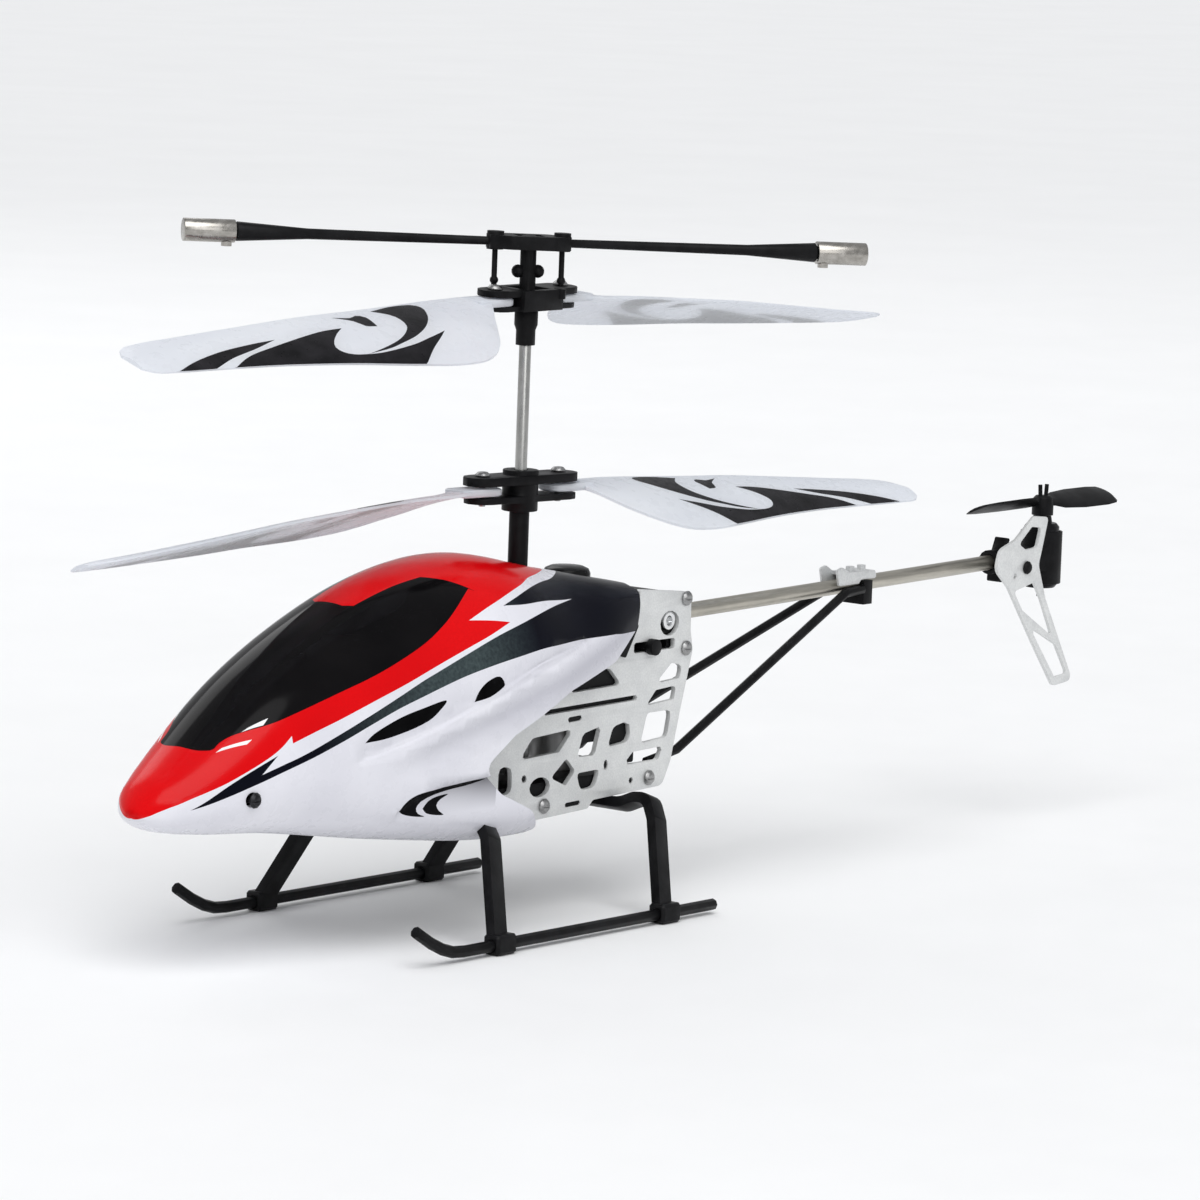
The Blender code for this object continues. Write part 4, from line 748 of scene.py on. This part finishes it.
BAND_TOP = (
    (-67.4, 26.9), (-64.1, 28), (-60.2, 29.3), (-54.1, 31.7), (-48.3, 34), (-43.3, 36), (-38.6, 37.9),
    (-35.2, 39.1), (-29.2, 41.1), (-22.7, 43.1), (-16, 44.7), (-11.9, 45.5), (-6, 46.2), (-1.5, 46.6),
)
SPIKE_UNDER = ((-1.5, 46.6), (-7.6, 46.9), (-13.9, 47), (-18.9, 47.1))
SPIKE_OVER = ((-18.9, 47.1), (-13.7, 48.4), (-6.2, 49.2))
SPIKE_OVER_ABOVE = ((-2, 8), (1.5, 6), (4.5, 3.4), (6.6, 0))
BAND_FOOT = (
    (16.5, 40.4), (8.9, 40.8), (5.2, 41), (-2.5, 41.1), (-10.6, 40.9), (-17.6, 40.3), (-23.8, 39.4),
    (-29.7, 38.3), (-33.8, 37.3), (-38.4, 36), (-43.4, 34.5), (-48.4, 32.7), (-54.2, 30.5), (-60.3, 28.3),
    (-66, 26.4), (-70.2, 25), (-74.1, 23.7), (-78.1, 22.5),
)
VENTS = (
    ((-49.7, 30.1), (-48.1, 31.3), (-45.3, 32.5), (-42.3, 33.5), (-38.8, 34.3), (-34.4, 35.1), (-35.7, 33.7),
     (-37.4, 32.6), (-39.6, 31.8), (-42.3, 31.1), (-46, 30.4)),
    ((-28.7, 34.4), (-27.8, 35.8), (-26.2, 37), (-24, 37.7), (-22.9, 37.4), (-22.3, 36.4), (-23.2, 35.8),
     (-25.9, 34.8)),
)
CHEVRONS = (
    ((-42.5, 19.7), (-41.8, 20.8), (-40.4, 21.7), (-38.2, 22.2), (-34.5, 22.5), (-30, 22.8), (-26, 22.9),
     (-29.5, 22.3), (-33.5, 21.9), (-36.6, 21.3), (-38.6, 20.5), (-39.2, 19.6), (-38.6, 18.8), (-37.3, 18.3),
     (-39.6, 18.5), (-41.6, 19)),
    ((-38, 19.5), (-37.2, 20.5), (-35.6, 21.1), (-33.4, 21.3), (-34.9, 20.6), (-35.5, 19.8), (-34.8, 18.9),
     (-33.8, 18.3), (-35.6, 18.4), (-37.2, 18.8)),
)
# Two white dashes: one on the glazing just over its lower edge, one on the red below it
DASHES = (
    ((-67.8, 32.5), (-66.7, 33.1), (-63.8, 34.3), (-64.9, 33.4)),
    ((-72, 29.9), (-71, 30.5), (-67.2, 31.6), (-68.1, 31)),
)
# Relief: the step along the cheek with the vents above it, and the pocket low on the flank
CHEEK = (
    (-51.5, 27.3), (-47.1, 28), (-41.8, 29.2), (-36.4, 30.9), (-30.7, 32.9), (-24.7, 34.9), (-18.4, 37.3),
    (-11.1, 39.2), (-2.7, 40.4),
)
POCKET_TOP = (
    (-43, 19.3), (-40.9, 21.1), (-38.5, 22.1), (-34.7, 22.7), (-30.3, 23.1), (-26, 23.4), (-23.4, 23.4),
)
POCKET_UNDER = ((-24, 18.2), (-42.6, 18.2))
RELIEF_STEP = 0.35
# Round openings as centre and radius, and the belly's in plan
ROOF_HOLES = {"mast": (0, 3), "dome": (11.7, 4)}
SCREW_HOLE = (-69, 23.5, 1.1)
BELLY_OPENING = ((-46, 0), (-46, 4.2), (-44.6, 6.2), (-31, 10), (-5, 10.2))
OPENINGS = ("rear", "belly", "mast", "dome", "screw")
MARKS = {"vent": VENTS, "print": CHEVRONS, "dash": DASHES}
# Material slots of the shell; the last one is the inside's
ZONE_FINISHES = {
    "white": WHITE, "red": RED, "navy": NAVY, "vent": VENT, "print": PRINT, "dash": DASH, "pocket": POCKET_PAINTED_SHADE,
    "inner": INNER,
}
SKIN_SPACING = 1.15


def skin_loops():
    """Every outline on the skin, by name, as closed loops in skin coordinates."""
    far_run, above, below = CANOPY_END_X + 2, -2, GIRTH + 2
    rear = side_line([tuple(p) for p in rounded(REAR_EDGE)][1:])
    loops = {"rear": [*rear, (rear[-1][0], below), (far_run, below), (far_run, above), (rear[0][0], above)]}
    belly = laid(from_below, straight(BELLY_OPENING, 0.7))
    loops["belly"] = [*belly, (belly[-1][0], below), (belly[0][0], below)]
    for name, (x, radius) in ROOF_HOLES.items():
        turns = np.linspace(0, math.pi, 25)
        arc = laid(from_above, [(x + radius * math.cos(t), radius * math.sin(t)) for t in turns])
        loops[name] = [*arc, (arc[-1][0], above), (arc[0][0], above)]
    x, z, radius = SCREW_HOLE
    turns = np.linspace(0, 2 * math.pi, 20, endpoint=False)
    loops["screw"] = laid(from_side, [(x + radius * math.cos(t), z + radius * math.sin(t)) for t in turns])
    sill = curve_through(laid(from_above, WINDOW_NOSE) + laid(from_side, SILL))
    panel = laid(from_above, straight([(ROOF_PANEL[0][0], 0), *ROOF_PANEL], 0.5))
    loops["window"] = [(sill[0][0], above), *sill, *reversed(panel), (panel[0][0], above)]
    red = curve_through(laid(from_side, RED_REAR) + laid(from_above, RED_REAR_ABOVE))
    chin = run_of(RED_TIP_X)
    loops["red"] = [(RUN_START, above), (RUN_START, below), (chin, below),
                    *curve_through([(chin, GIRTH), *laid(from_side, RED_EDGE)], 0.4),
                    *side_curve(RED_EDGE_REAR), *side_curve(RED_NOTCH), *red, (red[-1][0], above)]
    navy = curve_through(laid(from_side, SPIKE_OVER) + laid(from_above, SPIKE_OVER_ABOVE))
    loops["navy"] = [*side_curve(BAND_NOSE), *side_curve(BAND_TOP), *side_curve(SPIKE_UNDER), *navy,
                     (navy[-1][0], above), (far_run, above), (far_run, from_side(*BAND_FOOT[0])[1]),
                     *side_curve(BAND_FOOT)]
    for kind, shapes in MARKS.items():
        for i, shape in enumerate(shapes):
            ring = laid(from_side, [*shape, shape[0]])
            loops[f"{kind}_{i}"] = (straight if kind == "dash" else curve_through)(ring, 0.4)[:-1]
    loops["pocket"] = side_curve(POCKET_TOP) + side_line([POCKET_TOP[-1], *POCKET_UNDER, POCKET_TOP[0]])
    return {name: [np.array(p, float) for p in loop] for name, loop in loops.items()}


def level_of(line, x):
    """Height of a line in side view."""
    return np.interp(x, *zip(*sorted(line)))


# Relief in millimetres: deepest of each part, and where it begins and ends along X
CHEEK_DEPTH, CHEEK_RUN = 0.8, (-51.5, 0)
HOLLOW_DEPTH, HOLLOW_RUN = 0.6, (-46, -8)
HOLLOW_DROP, HOLLOW_REACH = 3.2, 2.8  # its middle under the cheek's edge, and its half height
POCKET_DEPTHS, POCKET_RUN, POCKET_FOOT = (0.45, 0.6), (-43, -12), 16.8


def relief(x, z):
    """Height of the moulded relief above the plain skin, in millimetres."""
    depth = 0
    edge, foot, top = level_of(CHEEK, x), level_of(BAND_FOOT, x), level_of(POCKET_TOP, x)
    start, end = CHEEK_RUN
    if start < x < end and edge < z < foot:
        step = min((z - edge) / RELIEF_STEP, 1)
        fade = 1 - (z - edge) / max(foot - edge, 1)
        depth -= CHEEK_DEPTH * step * fade ** 0.8 * max(min((x - start) / 2, 1, (end - x) / 8), 0)
    start, end = HOLLOW_RUN
    hollow = (z - edge + HOLLOW_DROP) / HOLLOW_REACH
    if abs(hollow) < 1 and start < x < end:
        depth -= HOLLOW_DEPTH * (1 - hollow ** 2) ** 2 * min((x - start) / 10, 1, (end - x) / 6)
    start, end = POCKET_RUN
    if start < x < end and POCKET_FOOT < z < top:
        step = min((top - z) / RELIEF_STEP, 1)
        fade = min((z - POCKET_FOOT) / (top - POCKET_FOOT) * 1.3, 1)
        nose, more = POCKET_DEPTHS
        depth -= (nose + more * min((x - start) / 17, 1)) * step * fade * min(x - start, 1)
    return depth


TIP_REACH = 0.05  # part of the run at the nose's tip that faces straight forwards
PLAIN_REACH, RELIEF_REACH = 0.3, 0.12  # to each side, for slopes without and with the relief


def plain_spot(run, way):
    """Point of the skin without its relief."""
    x, breadth, height, share = section(run)
    return np.array((x, np.interp(way / GIRTH, share, breadth), np.interp(way / GIRTH, share, height)))


def facing(place_at, run, way, reach):
    """Outward direction of a surface given by skin coordinates, from its slopes."""
    before, after = max(run - reach, RUN_START + 0.02), run + reach
    left, right = max(way - reach, 0), min(way + reach, GIRTH)
    lengthways = place_at(after, way) - place_at(before, way)
    round_it = place_at(run, right) - place_at(run, left)
    normal = np.cross(lengthways, round_it)
    size = np.linalg.norm(normal)
    if size < 1e-9:
        return np.array((-1, 0, 0))
    normal /= size
    if way < 0.01 or way > GIRTH - 0.01:
        normal = np.array((normal[0], 0, normal[2]))
        normal /= np.linalg.norm(normal)
    return normal


def skin_spot(run, way):
    """Point of the skin with its relief."""
    spot = plain_spot(run, way)
    height = relief(spot[0], spot[2])
    return spot + facing(plain_spot, run, way, PLAIN_REACH) * height if height else spot


def fold_line(sweep, start):
    """Line along the skin where its rings turn by the same angle from level."""
    line = []
    for run in np.arange(start, CANOPY_END_X, 1):
        share = section(run)[3]
        line.append(np.array((run, GIRTH * float(np.interp(-math.radians(sweep), -SWEEP, share)))))
    return line


# Start along the run and turns in degrees of the lines that follow the belly's corner and the rear roof's
FOLDS = ((-79, (-28, -37, -45, -53, -62)), (-4, (34, 45, 56)))


def skin_mesh():
    """Port half of the skin: points, directions, triangles, their zones, and which are glazed."""
    loops = skin_loops()
    lines = []
    for line, step in ((CHEEK, RELIEF_STEP), (POCKET_TOP, -RELIEF_STEP)):
        lines += [side_curve([(x, z + offset) for x, z in line]) for offset in (0, step)]
    lines += [fold_line(sweep, start) for start, sweeps in FOLDS for sweep in sweeps]
    area = ((RUN_START, CANOPY_END_X), (0, GIRTH))
    points, triangles = triangulate(*area, list(loops.values()), lines, SKIN_SPACING)
    centres = np.array([points[list(t)].mean(0) for t in triangles])
    inside = {name: within(loop, centres) for name, loop in loops.items()}
    zone = np.full(len(triangles), "white", dtype="<U8")
    for name in ("red", "navy", "pocket", *[name for name in loops if name.split("_")[0] in MARKS]):
        zone[inside[name]] = name.split("_")[0]
    for name in OPENINGS:
        zone[inside[name]] = "gone"
    spots, facings = [], []
    for run, way in points:
        spots.append(skin_spot(run, way))
        at_tip = run < RUN_START + TIP_REACH
        facings.append(np.array((-1, 0, 0)) if at_tip else facing(skin_spot, run, way, RELIEF_REACH))
    return spots, facings, triangles, zone, inside["window"]


def wall(bm, rim, twin, finish=None):
    """Faces from open edges to their twins, in one finish or in that of the edge's face."""
    for edge in rim:
        loop = edge.link_loops[0]
        a, b = loop.link_loop_next.vert, loop.vert
        face = bm.faces.new((a, b, twin[b], twin[a]))
        face.material_index = loop.face.material_index if finish is None else finish


def closed_object(name, bm, finishes, sharp):
    """Object from a mesh in millimetres, shaded smooth except across edges sharper than that angle."""
    for v in bm.verts:
        v.co = place(*v.co)
    obj = object_from(name, bm, finishes)
    obj.data.polygons.foreach_set("use_smooth", [True] * len(obj.data.polygons))
    obj.data.set_sharp_from_angle(angle=math.radians(sharp))
    return obj


ROOF_LEVEL = 40  # faces over this height point upwards on the outside
JOIN_REACH, SLIVER = 2e-3, 1e-3
SHELL_CREASE, BLADE_CREASE = 32, 40  # degrees


def walled(name, spots, facings, faces, finishes):
    """Shell with the canopy's thickness from one half's faces, which are (triangle, material index).
    The outside is shaded by the exact surface directions."""
    bm = bmesh.new()
    towards = bm.verts.layers.float_vector.new("towards")
    outside = bm.faces.layers.int.new("outside")
    sides = []
    for hand in (-1, 1):
        made = []
        for spot, normal in zip(spots, facings):
            vert = bm.verts.new((spot[0], hand * spot[1], spot[2]))
            vert[towards] = (normal[0], hand * normal[1], normal[2])
            made.append(vert)
        sides.append(made)
    for triangle, index in faces:
        for side, flip in zip(sides, (1, -1)):
            face = bm.faces.new([side[i] for i in triangle[::flip]])
            face.material_index = index
    bmesh.ops.delete(bm, geom=[v for v in bm.verts if not v.link_faces], context="VERTS")
    bmesh.ops.remove_doubles(bm, verts=bm.verts, dist=JOIN_REACH)
    bmesh.ops.dissolve_degenerate(bm, edges=bm.edges, dist=SLIVER)
    bmesh.ops.recalc_face_normals(bm, faces=bm.faces)
    if sum(f.normal.z * f.calc_area() for f in bm.faces if f.calc_center_median().z > ROOF_LEVEL) < 0:
        bmesh.ops.reverse_faces(bm, faces=bm.faces)
    outer = list(bm.faces)
    rim = [e for e in bm.edges if len(e.link_faces) == 1]
    twin = {v: bm.verts.new(v.co - v[towards] * CANOPY_WALL) for v in list(bm.verts)}
    for face in outer:
        face[outside] = 1
        back = bm.faces.new([twin[v] for v in reversed(face.verts)])
        back.material_index = len(finishes) - 1
    wall(bm, rim, twin)
    obj = closed_object(name, bm, finishes, SHELL_CREASE)
    mesh = obj.data
    known = mesh.attributes["towards"].data
    flags = mesh.attributes["outside"].data
    split = [Vector((0, 0, 0))] * len(mesh.loops)
    for face in mesh.polygons:
        if flags[face.index].value:
            for corner in face.loop_indices:
                split[corner] = known[mesh.loops[corner].vertex_index].vector.copy()
    mesh.normals_split_custom_set(split)
    for layer in ("towards", "outside"):
        mesh.attributes.remove(mesh.attributes[layer])
    return obj


def build_canopy():
    """Painted shell and glazing."""
    spots, facings, triangles, zone, window = skin_mesh()
    faces = [(t, z, w) for t, z, w in zip(triangles, zone, window) if z != "gone"]
    zones = list(ZONE_FINISHES)
    shell_faces = [(t, zones.index(z)) for t, z, w in faces if not w]
    glass_faces = [(t, 1 if z == "dash" else 0) for t, z, w in faces if w]
    shell = walled("canopy_paintwork", spots, facings, shell_faces, list(ZONE_FINISHES.values()))
    glass = walled("canopy_glazing", spots, facings, glass_faces, (GLASS, DASH, GLASS))
    for obj, node, slot in ((shell, "canopy_shell", "canopy"), (glass, "windscreen", "windscreen")):
        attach(obj, "airframe")
        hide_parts(node)


# ---- painted shade in and behind the side frames

# Black sheets behind the windows of the side frames, painted shade of the dark inside, and the short bar
# outside them, painted shadow of the gap between the canopy's rear edge and the frame, in side view
SHADE_SHEET = (
    (-6, 27), (-6, 35.3), (14.6, 35.6), (18.4, 32), (18.4, 20), (15.3, 20), (15.3, 22.6),
    (10.4, 22.6), (10.4, 24), (4.3, 24), (4.3, 27),
)
SHADE_SHEET_PATCHES = (
    ((0.2, 14.5), (6, 14.5), (6, 16.2), (0.2, 16.2)),
    ((9.9, 19.3), (11.7, 19.3), (11.7, 21.5), (9.9, 21.5)),
    ((-9.4, 19.2), (-7.4, 19.2), (-7.4, 21.2), (-9.4, 21.2)),
)
SHADE_SHEET_BAR = ((15.9, 41.4), (17.1, 41), (14.1, 36.2), (12.6, 36.9))

# Black fillings of the smallest holes: painted shade of the dark inside
SHADE_PLUGS = (
    ((1.3, 15), (1.8, 15.5), (5, 15.6), (4.7, 15.1)),
    ((1.45, 27.8), (1.8, 28.3), (4.7, 28.35), (4.4, 27.85)),
    ((10.8, 19.75), (11.2, 20.4), (10.8, 21.05), (10.4, 20.4)),
    ((-8.4, 19.7), (-7.9, 20.2), (-8.4, 20.7), (-8.9, 20.2)),
    ((17, 17), (17.4, 17.4), (17, 17.8), (16.6, 17.4)),
)
# Outlines with their distances from the middle, inner and outer
SLABS = (((SHADE_SHEET, *SHADE_SHEET_PATCHES), 8.57, 8.68), (SHADE_PLUGS, 8.6, 9.42), ((SHADE_SHEET_BAR,), 8.9, 9.95))
SLAB_CORNER = 0.4


def solid(bm, rows):
    """Faces between neighbouring rings and over both ends."""
    for lower, upper in zip(rows, rows[1:]):
        for i in range(len(lower)):
            j = (i + 1) % len(lower)
            bm.faces.new((lower[i], lower[j], upper[j], upper[i]))
    bm.faces.new(rows[-1])
    bm.faces.new(rows[0][::-1])


def build_shade_sheets():
    """Black sheets behind and outside the side frames: painted shade of the dark inside and painted shadow of
    the gap under the canopy's edge.
    """
    for side, name in ((-1, "left"), (1, "right")):
        bm = bmesh.new()
        for outlines, near, far in SLABS:
            for outline in outlines:
                ring = rounded([(*p, SLAB_CORNER) for p in outline], 3)
                solid(bm, [[bm.verts.new(place(x, side * y, z)) for x, z in ring] for y in (near, far)])
        bmesh.ops.recalc_face_normals(bm, faces=bm.faces)
        obj = object_from(name + "_frame_shade_sheet", bm, [BLACK])
        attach(obj, "airframe")


# ---- blades

ROTOR_RADIUS = 84
BLADE_ROOT = 11
# Radius, leading offset, trailing offset, pitch in degrees, droop
BLADE_STATIONS = (
    (11, 2.2, 2.6, 6, -0.1), (13, 2.8, 4.8, 13, -0.5), (15.2, 3.1, 7.6, 16.5, -0.9),
    (18.4, 3.1, 11.2, 19, -1.1), (22.5, 2.9, 13.4, 21, -1.25), (28, 2.9, 13.4, 22, -1.6),
    (36, 3.4, 11.3, 22.8, -2.3), (47, 4.3, 8.2, 23, -3.3), (59, 5.1, 5.2, 22.5, -4.6),
    (71, 5.7, 3.6, 19.5, -5.6), (79, 5.8, 2.8, 17.2, -6.1), (82.6, 4.9, 2.2, 16.5, -6.25),
    (84, 3.2, 1, 16, -6.3),
)
# Name: rotor height, turn in degrees, hand, offset of the pair, rise of the tips, roll in degrees
BLADES = {
    "lower_blade_a": (61.6, -8, 1, 0.2, 0.9, 0),
    "lower_blade_b": (61.6, 172, 1, 0.2, -0.9, 0),
    "upper_blade_a": (89.8, 0, -1, 0, -0.6, 3.5),
    "upper_blade_b": (89.8, 180, -1, 0, 0.6, 3.5),
}
CHORD_SPREAD = 13
# Printed swoosh: radius and share of the chord from the trailing edge
WAVE = (
    ((69.5, -0.1), (64, 0.183), (58.2, 0.345), (51.5, 0.50), (47, 0.58), (43.2, 0.61)),
    ((43.2, 0.61), (45.3, 0.50), (47.1, 0.37), (47.9, 0.26), (47.3, 0.175), (45.8, 0.135), (43.6, 0.135),
     (41, 0.155), (38, 0.20)),
    ((38, 0.20), (34, 0.27), (30.3, 0.355), (26.3, 0.43)),
    ((26.3, 0.43), (31.5, 0.20), (36.3, -0.1)),
)
HOOK = (
    ((33.5, 0.92), (28.5, 0.975), (24.6, 0.95), (23.8, 0.86), (24.8, 0.75), (26.5, 0.63), (29, 0.51),
     (32.5, 0.385), (36, 0.29), (39, 0.215), (43.5, 0.135)),
    ((43.5, 0.135), (42, 0.17), (38.5, 0.265), (35.5, 0.36), (33.2, 0.465), (31.7, 0.57), (31.2, 0.69),
     (31.6, 0.80), (33.5, 0.92)),
)
STRIP = (((78.8, -0.02), (74, 0.183), (68, 0.35), (61.5, 0.45), (56.5, 0.50)),
         ((56.5, 0.50), (61.5, 0.335), (67, 0.18), (71.8, -0.02)))
LEAF = (((42, 0.87), (39, 0.82), (37.4, 0.86), (36.2, 0.80), (36.7, 0.60)),
        ((36.7, 0.60), (38.6, 0.62), (39.4, 0.74), (42, 0.87)))


# Root thickness, its loss towards the tip, share of it left at the edges, and camber
ROOT_THICKNESS, THINNING, EDGE_THICKNESS, CAMBER = 1.15, 0.5, 0.35, 0.05
BLADE_SPACING = 1.2
# Plate at the root: corners with their radii, and the inset and height of each ring
TAB = ((4.9, -2.5, 2.4), (4.9, 2.5, 2.4), (13.2, 2.2, 0.5), (13.2, -2.2, 0.5))
TAB_RINGS = ((0.25, -0.55), (0, -0.35), (0, 0.35), (0.25, 0.55))


def on_rotor(name, spot):
    """Point of a blade, given along its own axes, where that blade is on the rotor."""
    height, turn, *_, roll = BLADES[name]
    turned = Matrix.Rotation(math.radians(turn), 3, "Z") @ Vector(spot)
    return Matrix.Rotation(math.radians(roll), 3, "X") @ turned + Vector((0, 0, height))


def blade_point(name, radius, share, surface):
    """Point of a blade. share runs from the trailing edge, surface is 1 on top and -1 below."""
    _, _, hand, offset, rise, _ = BLADES[name]
    leading, trailing, pitch, droop = (
        smooth_value([(s[0], s[k]) for s in BLADE_STATIONS], radius) for k in (1, 2, 3, 4))
    chord = leading + trailing
    thickness = ROOT_THICKNESS - THINNING * (radius - BLADE_ROOT) / (ROTOR_RADIUS - BLADE_ROOT)
    level = droop + offset * min((radius - BLADE_ROOT) / 7, 1) + rise * radius / ROTOR_RADIUS
    along = (-trailing + chord * share) * hand
    angle = math.radians(pitch) * hand
    bow = 4 * share * (1 - share)
    lift = CAMBER * chord * bow + surface * thickness / 2 * (EDGE_THICKNESS + (1 - EDGE_THICKNESS) * bow)
    y = along * math.cos(angle) - lift * math.sin(angle)
    z = level + along * math.sin(angle) + lift * math.cos(angle)
    return on_rotor(name, (radius, y, z))


def build_blades():
    """Four film blades from one pattern of triangles that follows the print."""
    loops = []
    for shape in (WAVE, HOOK, STRIP, LEAF):
        loops.append([])
        for part in shape:
            loops[-1] += curve_through([(r, q * CHORD_SPREAD) for r, q in part], 0.6)[:-1]
    area = ((BLADE_ROOT, ROTOR_RADIUS), (0, CHORD_SPREAD))
    points, triangles = triangulate(*area, loops, [], BLADE_SPACING)
    centres = np.array([points[list(t)].mean(0) for t in triangles])
    inked = np.any([within(loop, centres) for loop in loops], axis=0)
    for name in BLADES:
        build_blade(name, points, triangles, inked)


def build_blade(name, points, triangles, inked):
    """One blade: printed top, underside where the print shows through, edges and root plate."""
    bm = bmesh.new()
    top, under = (
        [bm.verts.new(blade_point(name, r, b / CHORD_SPREAD, side)) for r, b in points] for side in (1, -1))
    for triangle, ink in zip(triangles, inked):
        bm.faces.new([top[i] for i in triangle]).material_index = 1 if ink else 0
        bm.faces.new([under[i] for i in reversed(triangle)]).material_index = 2 if ink else 0
    twin = dict(zip(top, under))
    wall(bm, [e for e in bm.edges if len(e.link_faces) == 1 and e.verts[0] in twin], twin, 0)
    outline = rounded(TAB, 6)
    middle = np.mean(outline, axis=0)
    rings = []
    for inset, z in TAB_RINGS:
        ring = [p - (p - middle) / np.linalg.norm(p - middle) * inset for p in outline]
        rings.append([bm.verts.new(on_rotor(name, (*p, z))) for p in ring])
    solid(bm, rings)
    bmesh.ops.recalc_face_normals(bm, faces=bm.faces)
    obj = closed_object(name + "_film", bm, (FILM, FILM_INK, FILM_GHOST), BLADE_CREASE)
    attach(obj, name)
    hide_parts(name)


build_camera()
build_stage()
build_lights()
finish_cad_nodes()
build_canopy()
build_shade_sheets()
build_blades()
